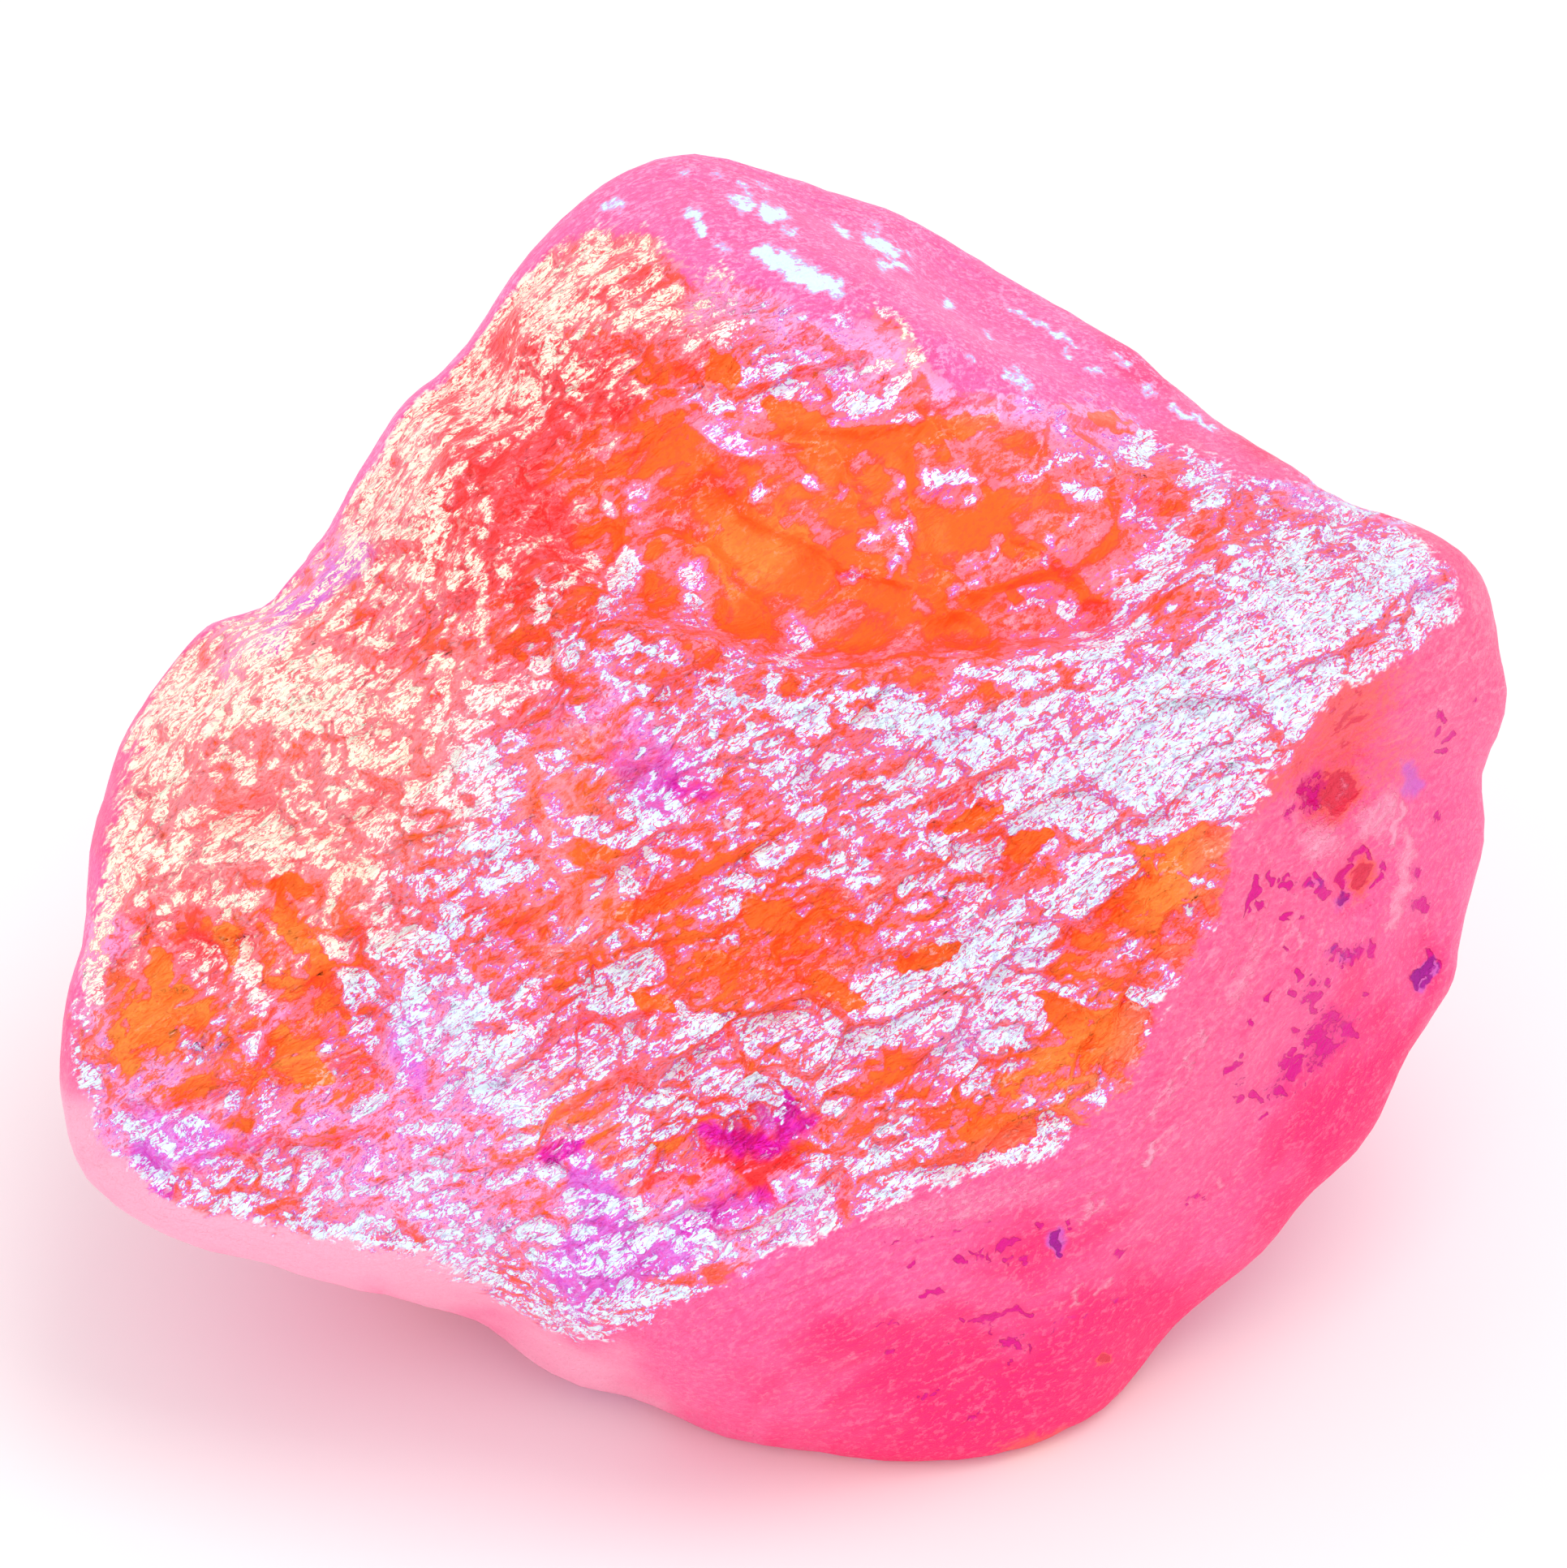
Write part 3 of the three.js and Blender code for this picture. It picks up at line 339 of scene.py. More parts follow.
PITS = [
    (1, 0.13, (22.76, 3.29), (22.81, 3.06)), (1, 0.09, (22.67, 2.87), (22.76, 2.62)),
    (1, 0.1, (22.95, 2.33), (23.23, 2.5)), (1, 0.08, (22.67, 2), (23.04, 1.98)),
    (0.8, 0.09, (23.84, 3.85), (23.84, 3.65)), (1, 0.09, (22.76, -0.27), (22.71, -0.46)),
    (1, 0.1, (16.43, -2.34), (16.33, -2.9), (16.19, -3.37)), (1, 0.07, (16.57, -3.18), (16.59, -3.5)),
    (0.9, 0.07, (16.85, -2.2), (17.04, -2.38), (16.9, -2.66)), (0.9, 0.07, (17.23, -2.52), (17.51, -2.38)),
    (0.9, 0.07, (17.32, -2.76), (17.65, -2.62)), (1, 0.08, (18.12, -2.34), (18.26, -2.71)),
    (1, 0.08, (18.35, -2.29), (18.63, -2.62), (18.54, -2.9)), (1, 0.12, (18.77, -2.8), (18.82, -3.04)),
    (1, 0.09, (17.41, -3.74), (17.6, -3.6)), (1, 0.08, (17.98, -3.76), (18.07, -3.72)),
    (0.8, 0.07, (17.41, -4.82), (17.49, -4.78)), (1, 0.2, (19.62, -2.05), (19.34, -2.43), (19.29, -2.71)),
    (0.9, 0.08, (19.48, -2.9), (19.29, -3.27)),
    (0.9, 0.07, (19.57, -1.77), (19.95, -1.54), (20.23, -1.44), (20.46, -1.68)),
    (0.8, 0.08, (20.65, -2.34), (20.51, -2.8)), (1.1, 0.13, (20.8, -1.96), (20.88, -2)),
    (0.8, 0.08, (22, -2.15), (22.2, -2.2)), (1, 0.22, (22, -3.3), (22.29, -3.41)),
    (1, 0.12, (22.53, -4.96), (22.24, -5.53), (21.96, -5.9), (22.01, -6.23)),
    (0.9, 0.08, (22.76, -5.15), (22.67, -5.62), (22.29, -6.18)),
    (0.9, 0.08, (19.01, -5.06), (19.24, -4.82), (19.48, -5.01)), (0.9, 0.08, (18.87, -5.38), (19.01, -5.2)),
    (1, 0.08, (19.66, -4.82), (19.76, -5.15), (19.66, -5.43)), (0.9, 0.08, (19.95, -4.82), (20.13, -5.1)),
    (1, 0.14, (20.37, -4.73), (20.46, -5.06)), (0.8, 0.08, (19.85, -5.29), (20.04, -5.2)),
    (1, 0.08, (17.93, -5.62), (17.79, -5.85)), (0.9, 0.08, (17.79, -6.37), (17.72, -6.28)),
    (1, 0.1, (18.21, -6.09), (18.35, -5.99)), (1, 0.1, (18.54, -6.37), (18.4, -6.74)),
    (0.9, 0.08, (18.87, -6.04), (19.01, -5.9)), (0.9, 0.08, (17.98, -6.84), (18.02, -6.74)),
    (0.9, 0.08, (18.35, -6.98), (18.49, -6.89)), (1, 0.07, (16.71, -6.37), (16.59, -6.6)),
    (0.9, 0.06, (16.19, -7.31), (16.12, -7.5)), (0.9, 0.1, (19.1, -7.17), (19.29, -7.14)),
    (1.1, 0.26, (19.38, -7.59), (19.76, -7.73)), (1, 0.09, (17.74, -7.73), (18.02, -7.68)),
    (1, 0.1, (18.26, -7.78), (18.63, -7.68)), (1, 0.11, (18.16, -8.15), (18.63, -7.96), (19.1, -8.06)),
    (1, 0.12, (17.7, -8.25), (17.55, -8.43)), (1.1, 0.16, (18.54, -8.34), (19.2, -8.25)),
    (0.8, 0.09, (20.32, -6.46), (20.23, -6.56)), (1, 0.16, (18, -8.86), (17.47, -9.39)),
    (1, 0.13, (17.34, -8.86), (17.87, -8.6)), (1, 0.11, (17.08, -9.66), (17.47, -9.92)),
    (0.9, 0.07, (16.68, -10.6), (16.64, -10.8)), (1, 0.09, (16.15, -9.92), (16.6, -10.06)),
    (1, 0.09, (15.35, -9.13), (15.75, -8.86)), (0.9, 0.09, (15.6, -9.92), (15.9, -10.06)),
    (0.8, 0.07, (15.85, -8.65), (15.95, -8.55)), (1, 0.12, (7.58, -15.22), (7.6, -14.95), (8.09, -14.89)),
    (1, 0.08, (6, -15.64), (6.35, -15.64)), (0.7, 0.06, (6.5, -15.34), (6.85, -15.36)),
    (0.8, 0.06, (7, -15.6), (7.08, -15.7)),
    (0.7, 0.06, (7.75, -15.9), (7.8, -15.56), (8.1, -15.67), (8.48, -15.5), (8.54, -15.67)),
    (0.8, 0.07, (8.82, -14.4), (8.93, -14.5)), (0.8, 0.07, (9.78, -14.38), (9.91, -14.51)),
    (0.9, 0.14, (9.38, -14.72), (9.67, -15.39)), (0.9, 0.07, (4.83, -16.86), (5.1, -16.74), (5.56, -16.8)),
    (0.8, 0.06, (4.49, -15.7), (4.32, -15.84)), (0.8, 0.08, (6.12, -17.59), (6.51, -17.81), (7.02, -17.73),
    (7.47, -17.47), (8.09, -17.36), (8.65, -17.55)), (0.7, 0.06, (7.19, -17.87), (7.19, -18.2)),
    (0.8, 0.08, (7.53, -18.54), (7.86, -18.37), (8.2, -18.54), (8.09, -18.83)),
    (0.8, 0.08, (7.86, -19.22), (7.96, -19.26)), (0.7, 0.06, (8.54, -18.66), (8.6, -18.83)),
    (0.7, 0.06, (3.59, -18.83), (3.93, -18.66)), (0.6, 0.05, (3.25, -17.85), (4.04, -17.85)),
    (0.9, 0.07, (11.58, -15.26), (11.7, -15.23)), (0.6, 0.06, (14, -13.76), (14.22, -13.48), (14.73, -13.48)),
    (0.8, 0.06, (4.83, -20.34), (5.28, -20.29)), (0.8, 0.09, (6.57, -21), (6.74, -21.08)),
    (0.5, 0.07, (3.25, -15.05), (5.5, -14.83), (6.18, -14.55), (6.96, -14.32), (7.98, -14.21)),
    (0.45, 0.07, (9.1, -18.5), (9.4, -17.8), (10.45, -17.53), (11.92, -16.86)),
]
FOLDS = [
    (1, 0.1, (21.54, 0.29), (21.31, -0.46), (21.07, -1.3)),
    (0.8, 0.25, (21.73, -0.83), (21.59, -1.96), (21.4, -3.09), (21.07, -4.02)),
    (0.7, 0.7, (21.07, 0.3), (20.13, -0.84)), (0.6, 0.9, (18, -1.1), (19.2, -1.2)),
    (0.8, 0.08, (11.13, -13.6), (10.45, -14.32)), (0.7, 0.08, (10.68, -13.37), (10.5, -14.04)),
    (0.9, 0.11, (12.93, -11.57), (12.6, -12.35)), (0.7, 0.08, (15.3, -12.7), (15.07, -13.14)),
    (0.7, 0.09, (10.34, -16.5), (10, -17.2)), (0.7, 0.08, (11.35, -16.2), (10.9, -16.74)),
    (0.45, 0.7, (3.4, -14.2), (6.4, -13.7), (9.4, -13)), (0.8, 0.1, (18, -4.2), (17.8, -4.9)),
    (0.7, 0.08, (19.4, 1.1), (19.34, 0.3)), (0.7, 0.08, (18, 0.2), (19, 0.1)),
    (0.6, 0.12, (14.6, -7.8), (14, -8.9)), (0.6, 0.1, (13.6, -9.6), (12.8, -10.8)),
    (0.5, 0.3, (16.6, -4.6), (15.6, -6.6)),
]

# The marks on the surface, and the tables that they're made from.
WANDERING_ZONES = {
    "crimson": CRIMSON, "flush": FLUSH, "violet": VIOLET, "gold": GOLD, "orchid": ORCHID, "hot": HOT,
    "pale": PALE,
}
PLACED_ZONES = {"pitting": PITTING, "rust": RUST, "stain": STAIN, "hollow": HOLLOWS}
STROKES = {"magenta": MAGENTA, "pits": PITS, "fold": FOLDS, "pocket": POCKETS, "strip_glint": STRIP_GLINTS}


def linear(red, green, blue):
    """The linear colour, with alpha, of sRGB levels from 0 to 255."""
    levels = (v / 255 for v in (red, green, blue))
    curved = (v / 12.92 if v <= 0.04045 else ((v + 0.055) / 1.055) ** 2.4 for v in levels)
    return (*curved, 1.0)


def colour_setting(name, description, red, green, blue):
    return bpy.props.FloatVectorProperty(
        name=name, description=description, subtype="COLOR", size=4, min=0, max=1,
        default=linear(red, green, blue),
    )


def height_setting(name, description, default):
    return bpy.props.FloatProperty(name=name, description=description, default=default)


class ChunkShape(bpy.types.PropertyGroup):
    """The relief that the chunk's surface gets over its solid; lengths are in millimetres."""

    chip_tip: height_setting("Chip tip", "Rise of a large chip from edge to edge", 1.1)
    plate_tip: height_setting("Plate tip", "Rise of a smooth plate of the basin", 0.6)
    flake_tip: height_setting("Flake tip", "Rise of a flake from edge to edge", 0.45)
    sliver_tip: height_setting("Sliver tip", "Rise of a sliver from edge to edge", 0.2)
    wrinkle: height_setting("Wrinkle", "Height of the thin wrinkles", 0.1)
    lump: height_setting("Rind lumps", "Height of the rind's slow lumps", 0.4)
    ledge: height_setting("Ledges", "Height of the ledges round the back", 1.1)
    recess: height_setting("Recess", "How far the break lies under the rind", 0.22)
    faces: bpy.props.IntProperty(
        name="Triangles", description="Triangles of the finished chunk", default=198000
    )


class ChunkColours(bpy.types.PropertyGroup):
    """The colours of the coating, and of the painted highlights and painted shade laid on it."""

    # Ember is the hollows' own orange, and is also the painted shade of flakes that face away from the
    # painted light.
    ember: colour_setting("Ember", "Hollows of the break", 254, 106, 38)
    golden: colour_setting("Golden", "Golden hollows of the break", 255, 136, 58)
    coral: colour_setting("Coral", "Open parts of the break", 249, 84, 54)
    rose: colour_setting("Rose", "Open parts of the break near its rims", 249, 116, 146)
    petal: colour_setting("Petal", "Ridges of the break near its rims", 250, 158, 212)
    flushed: colour_setting("Flushed", "Open parts of the break on the left", 251, 118, 110)
    salmon: colour_setting("Salmon", "Ridges of the break", 247, 118, 136)
    crimson: colour_setting("Crimson", "Deep red folds", 249, 58, 62)
    # Fringe, blush, lilac and peach rim the painted highlights; the cool and cream sheens are the painted
    # highlights themselves.
    fringe: colour_setting("Fringe", "Edges of the cool flakes", 214, 88, 188)
    blush: colour_setting("Blush", "Edges of the warm flakes", 250, 150, 156)
    magenta: colour_setting("Magenta", "Magenta patches", 222, 14, 182)
    violet: colour_setting("Violet", "Violet patches", 214, 80, 226)
    lilac: colour_setting("Lilac", "Rims of the cool flakes", 214, 172, 244)
    peach: colour_setting("Peach", "Rims of the warm flakes", 255, 206, 184)
    shadow: colour_setting("Shadow", "Fine specks in the bright flakes", 150, 96, 206)
    cool: colour_setting("Cool sheen", "Bright flakes on the right", 228, 250, 255)
    cream: colour_setting("Cream sheen", "Bright flakes on the left", 255, 251, 226)
    rind: colour_setting("Rind", "Rind near the break", 253, 96, 156)
    # The hot rind is partly painted shade, where the rind is less lit.
    hot: colour_setting("Hot rind", "Rind low on the right", 252, 34, 116)
    pale: colour_setting("Pale rind", "Rind low on the left", 254, 172, 200)
    orchid: colour_setting("Orchid", "Rind on top", 251, 108, 182)
    rust: colour_setting("Rust", "Red hollows of the rind", 222, 44, 64)
    brick: colour_setting("Brick", "Grainy red of the rind", 252, 98, 88)
    stain: colour_setting("Stain", "Purple hollows of the rind", 204, 96, 206)
    pit: colour_setting("Pit", "Floor of the rind's pits", 224, 8, 140)
    bruise: colour_setting("Bruise", "Floor of the deepest pits", 150, 20, 150)


class StageSettings(bpy.types.PropertyGroup):
    """The camera and the lights."""

    distance: bpy.props.FloatProperty(
        name="Distance", description="From the camera to the chunk", default=0.303, unit="LENGTH"
    )
    rise: bpy.props.FloatProperty(
        name="Rise", description="How far the camera looks down", default=BREAK_RISE, subtype="ANGLE"
    )
    lens: bpy.props.FloatProperty(name="Lens", description="Focal length", default=199.0, unit="CAMERA")
    world: bpy.props.FloatProperty(
        name="Room light", description="Strength of the room's light", default=0.93
    )


class Wire:
    """One output of a node, with arithmetic: each sign adds a Math node to the same tree."""

    def __init__(self, maker, socket):
        self.maker = maker
        self.socket = socket

    def math(self, operation, *values):
        return self.maker.node("ShaderNodeMath", {"operation": operation}, dict(enumerate(values)))

    def __add__(self, other):
        return self.math("ADD", self, other)

    def __radd__(self, other):
        return self.math("ADD", other, self)

    def __sub__(self, other):
        return self.math("SUBTRACT", self, other)

    def __rsub__(self, other):
        return self.math("SUBTRACT", other, self)

    def __mul__(self, other):
        return self.math("MULTIPLY", self, other)

    def __rmul__(self, other):
        return self.math("MULTIPLY", other, self)

    def __pow__(self, other):
        return self.math("POWER", self, other)

    def __abs__(self):
        return self.math("ABSOLUTE", self)

    def sine(self):
        return self.math("SINE", self)

    def at_least(self, other):
        return self.math("MAXIMUM", self, other)

    def at_most(self, other):
        return self.math("MINIMUM", self, other)

    def between(self, low, high):
        """0 at low and 1 at high, eased and kept between them."""
        values = {"Value": self, "From Min": low, "From Max": high}
        return self.maker.node("ShaderNodeMapRange", {"interpolation_type": "SMOOTHSTEP"}, values)


class Maker:
    """Adds nodes to one tree, of a material or of a geometry modifier."""

    def __init__(self, tree):
        self.tree = tree

    def node(self, kind, settings=None, values=None, output=0):
        """The output (or list of outputs) of a new node, set up first and then given its values."""
        made = self.tree.nodes.new(kind)
        for name, value in (settings or {}).items():
            setattr(made, name, value)
        for key, value in (values or {}).items():
            if isinstance(value, Wire):
                self.tree.links.new(value.socket, made.inputs[key])
            else:
                made.inputs[key].default_value = value
        if isinstance(output, tuple):
            return [Wire(self, made.outputs[one]) for one in output]
        return Wire(self, made.outputs[output])

    def vector(self, operation, *values):
        output = 1 if operation == "DOT_PRODUCT" else 0
        return self.node("ShaderNodeVectorMath", {"operation": operation}, dict(enumerate(values)), output)

    def blend(self, factor, first, second):
        return self.node("ShaderNodeMix", {"data_type": "RGBA"}, {0: factor, 6: first, 7: second}, 2)

    def layered(self, colour, *layers):
        """The colour with the colour of each layer laid over it in turn, as far as its factor says."""
        for factor, over in layers:
            colour = self.blend(factor, colour, over)
        return colour

    def marked(self, name):
        """The number that each vertex is marked with under that name."""
        if self.tree.bl_idname == "GeometryNodeTree":
            return self.node("GeometryNodeInputNamedAttribute", {"data_type": "FLOAT"}, {"Name": name})
        return self.node("ShaderNodeAttribute", {"attribute_name": name}, {}, 2)

    def bump(self, height):
        return self.node("ShaderNodeBump", {}, {"Strength": 1.0, "Distance": MM, "Height": height})

    def turned(self, vector, axis, angle):
        values = {"Vector": vector, "Angle": angle}
        return self.node("ShaderNodeVectorRotate", {"rotation_type": axis}, values)

    def noise(self, vector, scale, detail, output=0, curl=0.0):
        values = {"Vector": vector, "Scale": scale, "Detail": detail, "Roughness": 0.55, "Distortion": curl}
        return self.node("ShaderNodeTexNoise", {}, values, output)

    def break_spot(self, position):
        """The place in the break's frame, in millimetres, of a position in metres."""
        moved = self.vector("SUBTRACT", position, HEART)
        level = self.turned(moved, "X_AXIS", BREAK_RISE - math.pi / 2)
        return self.vector("DIVIDE", level, (MM, MM, MM))

    def slanted(self, spot, size, turn, wander, drift=None):
        """The spot on a lattice of cells of that size, laid on a slant, whose lines wander."""
        if drift is None:
            drift = self.vector("SUBTRACT", self.noise(spot, 0.45 / size[0], 1.0, 1), (0.5, 0.5, 0.5))
        shifted = self.vector("MULTIPLY_ADD", drift, (wander, wander, wander), spot)
        level = self.turned(shifted, "Z_AXIS", -math.radians(turn))
        return self.vector("DIVIDE", level, size)

    def scales(self, spot, size, turn, wander, tip, ledge, soft):
        """Overlapping scales: each cell is a plane tipped its own way and falling away upwards."""
        lattice = self.slanted(spot, size, turn, wander)
        values = {"Vector": lattice, "Scale": 1.0, "Smoothness": soft}
        colour, centre = self.node("ShaderNodeTexVoronoi", {"feature": "SMOOTH_F1"}, values, (1, 2))
        offset = self.vector("SUBTRACT", lattice, centre)
        lean = self.vector("MULTIPLY_ADD", colour, (tip, tip, tip), (-tip / 2, -tip / 2 - ledge, -tip / 2))
        return self.vector("DOT_PRODUCT", offset, lean)


def seen_spots(mesh):
    """Each vertex's place over the break, in millimetres, as it is seen from over the heart."""
    co = np.empty(len(mesh.vertices) * 3)
    mesh.vertices.foreach_get("co", co)
    turn = np.array(Matrix.Rotation(BREAK_RISE - math.pi / 2, 3, "X"))
    spots = (co.reshape(-1, 3) - HEART) @ turn.T / MM
    nearer = (SEEN_FROM - LEVEL_HEIGHT) / (SEEN_FROM - spots[:, 2])
    across = (spots[:, 0] - SEEN_CENTRE[0]) * nearer + SEEN_SHIFT[0]
    along = (spots[:, 1] - SEEN_CENTRE[1]) * nearer + SEEN_SHIFT[1]
    return np.stack((across, along, spots[:, 2]), 1)


def inside_edge(across, along, loop):
    """How far each point lies inside the loop, and below 0 how far outside."""
    nearest = np.full(len(across), np.inf)
    inside = np.zeros(len(across), bool)
    for (ax, ay), (bx, by) in zip(loop, loop[1:] + loop[:1]):
        dx, dy = bx - ax, by - ay
        t = np.clip(((across - ax) * dx + (along - ay) * dy) / (dx * dx + dy * dy), 0, 1)
        nearest = np.minimum(nearest, np.hypot(across - ax - t * dx, along - ay - t * dy))
        if ay != by:
            inside ^= ((ay > along) != (by > along)) & (across < ax + (along - ay) * dx / dy)
    return np.where(inside, nearest, -nearest)


def wavy(spots, waves):
    """The spots with the lines across the break made uneven by two waves each way."""
    x, y = spots[:, 0], spots[:, 1]
    moved = []
    for place, pair in zip((x, y), waves):
        for height, across, along, start in pair:
            place = place + height * np.sin(across * x + along * y + start)
        moved.append(place)
    return np.stack((*moved, spots[:, 2]), 1)


def zone(spots, table):
    """The greatest strength of a table's soft zones at each spot."""
    total = np.zeros(len(spots))
    for across, along, half_length, half_width, turn, strength in table:
        c, s = math.cos(math.radians(turn)), math.sin(math.radians(turn))
        dx, dy = spots[:, 0] - across, spots[:, 1] - along
        far = ((dx * c + dy * s) / half_length) ** 2 + ((dy * c - dx * s) / half_width) ** 2
        total = np.maximum(total, strength * np.exp(-0.9 * far**1.3))
    return total


def stroke(spots, table):
    """The greatest strength of a table's strokes, which taper to both ends, at each spot."""
    total = np.zeros(len(spots))
    for strength, half_width, *points in table:
        for done, ((ax, ay), (bx, by)) in enumerate(zip(points, points[1:])):
            reach = 3 * half_width
            near = np.flatnonzero(
                (spots[:, 0] > min(ax, bx) - reach) & (spots[:, 0] < max(ax, bx) + reach)
                & (spots[:, 1] > min(ay, by) - reach) & (spots[:, 1] < max(ay, by) + reach)
            )
            dx, dy = bx - ax, by - ay
            x, y = spots[near, 0] - ax, spots[near, 1] - ay
            t = np.clip((x * dx + y * dy) / (dx * dx + dy * dy), 0, 1)
            part = (done + t) / (len(points) - 1)
            thickness = 0.04 + half_width * (0.35 + 0.5 * np.sqrt(4 * part * (1 - part)))
            away = np.hypot(x - t * dx, y - t * dy) / thickness
            total[near] = np.maximum(total[near], strength * np.exp(-0.7 * away**2))
    return total


def eased(values, low, high):
    """0 at low and 1 at high, eased and kept between them."""
    t = np.clip((values - low) / (high - low), 0, 1)
    return t * t * (3 - 2 * t)


def mark(mesh, name, values):
    """Writes a number per vertex under that name."""
    found = mesh.attributes.get(name) or mesh.attributes.new(name, "FLOAT", "POINT")
    found.data.foreach_set("value", np.asarray(values, np.float32))


def marked_numbers(mesh, name):
    """The number per vertex that was marked under that name."""
    values = np.empty(len(mesh.vertices), np.float32)
    mesh.attributes[name].data.foreach_get("value", values)
    return values


def mark_hidden(mesh):
    """Marks the sides that face away from the break, on the still smooth chunk."""
    normals = np.empty(len(mesh.vertices) * 3)
    mesh.vertices.foreach_get("normal", normals)
    mark(mesh, "hidden", eased(-normals.reshape(-1, 3) @ OUT, *HIDDEN_LEAN))


def mark_zones(mesh):
    """Marks where the break, its hollows, its strokes and its colours lie, and returns the strokes."""
    spots = seen_spots(mesh)
    faces_out = eased(spots[:, 2], *FADE_IN) * (1 - marked_numbers(mesh, "hidden"))
    depth = inside_edge(spots[:, 0], spots[:, 1], BREAK_EDGE)
    mark(mesh, "edge_depth", np.clip(depth, -DEEPEST, DEEPEST) * faces_out - FAR_OUTSIDE * (1 - faces_out))
    mark(mesh, "rim_distance", -np.minimum(depth, 0) - 0.8 * np.minimum(spots[:, 2], 0))
    mark(mesh, "basin", faces_out * zone(spots, BASIN))
    uneven = wavy(spots, RIPPLE)
    placed = {name: faces_out * stroke(uneven, table) for name, table in STROKES.items()}
    placed.update((name, faces_out * zone(uneven, table)) for name, table in PLACED_ZONES.items())
    for name, values in placed.items():
        mark(mesh, name, values)
    # The glints are painted highlights: they and the pink bars lift the break's tint.
    glint, bar = (faces_out * stroke(uneven, table) for table in (GLINTS, BARS))
    mark(mesh, "glint_and_bar_lift", 1.05 * glint + 0.36 * bar)
    spots = wavy(spots, WANDER)
    # The level is the tint by place: the sheen zones raise it towards the painted highlight, and the ember
    # zones lower it towards orange.
    mark(mesh, "level", 0.35 + faces_out * (0.5 * zone(spots, SHEEN) - 0.4 * zone(spots, EMBER)))
    for name, table in WANDERING_ZONES.items():
        mark(mesh, name, faces_out * zone(spots, table))
    # The warmth: on the left and in the warm zone, the painted highlights are cream with peach rims, painted
    # as the reflection of a warm light; elsewhere they are cool.
    warm = eased(-0.8 * spots[:, 0] + 0.45 * spots[:, 1] - 8.5, -1.0, 2.5) * eased(spots[:, 1], -8.5, -4.5)
    mark(mesh, "warmth", np.maximum(warm, zone(spots, WARM)))
    return np.stack((glint, bar, *placed.values())).max(0)


def relief_modifier_tree(shape):
    """The geometry nodes that raise the chunk's chips, flakes, wrinkles and lumps."""
    tree = bpy.data.node_groups.new("chunk relief", "GeometryNodeTree")
    tree.interface.new_socket("Geometry", in_out="INPUT", socket_type="NodeSocketGeometry")
    tree.interface.new_socket("Geometry", in_out="OUTPUT", socket_type="NodeSocketGeometry")
    maker = Maker(tree)
    marked = maker.marked
    geometry = maker.node("NodeGroupInput")
    position = maker.node("GeometryNodeInputPosition")
    normal = maker.node("GeometryNodeInputNormal")
    spot = maker.break_spot(position)
    turn = maker.vector("DOT_PRODUCT", normal, OUT)
    hidden = marked("hidden")

    # The edge of the break is wavy, and there are chipped places on the hidden sides.
    wavy = (maker.noise(spot, 0.9, 3.0) - 0.5) * 1.4
    chipped = (maker.noise(spot, 0.09, 1.5) - 0.44) * 26.0
    edge = marked("edge_depth") + wavy + hidden * chipped
    broken = edge.between(-0.1, 0.5)

    # The break: hackly all over, with smooth plates and ribs in the basin and less on steep walls.
    calm = marked("basin").between(*SOFT_ZONE)
    steep = 1 - turn.between(0.15, 0.75)
    folded = marked("crimson").between(0.2, 0.9) * 0.5
    chips, flakes, slivers, plates, ledges = (
        maker.scales(spot, *cells) for cells in (CHIPS, FLAKES, SLIVERS, PLATES, LEDGES)
    )
    pucker = maker.noise(maker.slanted(spot, *WRINKLES), 1.0, 2.0)
    wrinkle = (1 - abs(pucker * 2 - 1)) ** 6.0
    fine = flakes * shape.flake_tip + slivers * shape.sliver_tip + wrinkle * shape.wrinkle
    hackly = chips * shape.chip_tip * (1 - 0.75 * calm) * (1 - folded) + fine * (1 - 0.9 * calm)
    hackly = hackly * (1 - steep * (0.7 - hidden * 0.3)) + plates * calm * shape.plate_tip
    rib = (1 - abs(maker.noise(spot, 0.17, 1.0) * 2 - 1)) ** 14.0
    smooth_ribs = rib * 0.3 + (maker.noise(spot, 0.35, 2.0) - 0.5) * 0.3
    face = hackly + smooth_ribs * calm - shape.recess

    # The rind: slow lumps, ledges round the back and pitted hollows.
    lumps = (maker.noise(spot, 0.22, 4.0) - 0.5) * shape.lump + ledges * hidden * shape.ledge
    height = (broken * face + (1 - broken) * lumps - marked("hollow")) * MM
    base = maker.node("ShaderNodeSeparateXYZ", {}, {0: position}, 2).between(*RESTING)
    offset = maker.node("ShaderNodeVectorMath", {"operation": "SCALE"}, {0: normal, "Scale": height * base})

    # The smooth surface's facing towards the painted light is kept, so that only the flakes' own tilt paints
    # highlights and shade.
    kept = {
        "edge": edge,
        "smooth_light_facing": maker.vector("DOT_PRODUCT", normal, PAINTED_LIGHT_WAY),
        "mottle": maker.noise(maker.slanted(spot, *MOTTLE), 1.0, 4.0),
        "drift": maker.noise(spot, 0.8, 2.0, 1),
    }
    for name, value in kept.items():
        settings = {"data_type": "FLOAT_VECTOR" if name == "drift" else "FLOAT", "domain": "POINT"}
        values = {"Geometry": geometry, "Name": name, "Value": value}
        geometry = maker.node("GeometryNodeStoreNamedAttribute", settings, values)
    raised = maker.node("GeometryNodeSetPosition", {}, {"Geometry": geometry, "Offset": offset})
    tree.links.new(raised.socket, tree.nodes.new("NodeGroupOutput").inputs[0])
    return tree


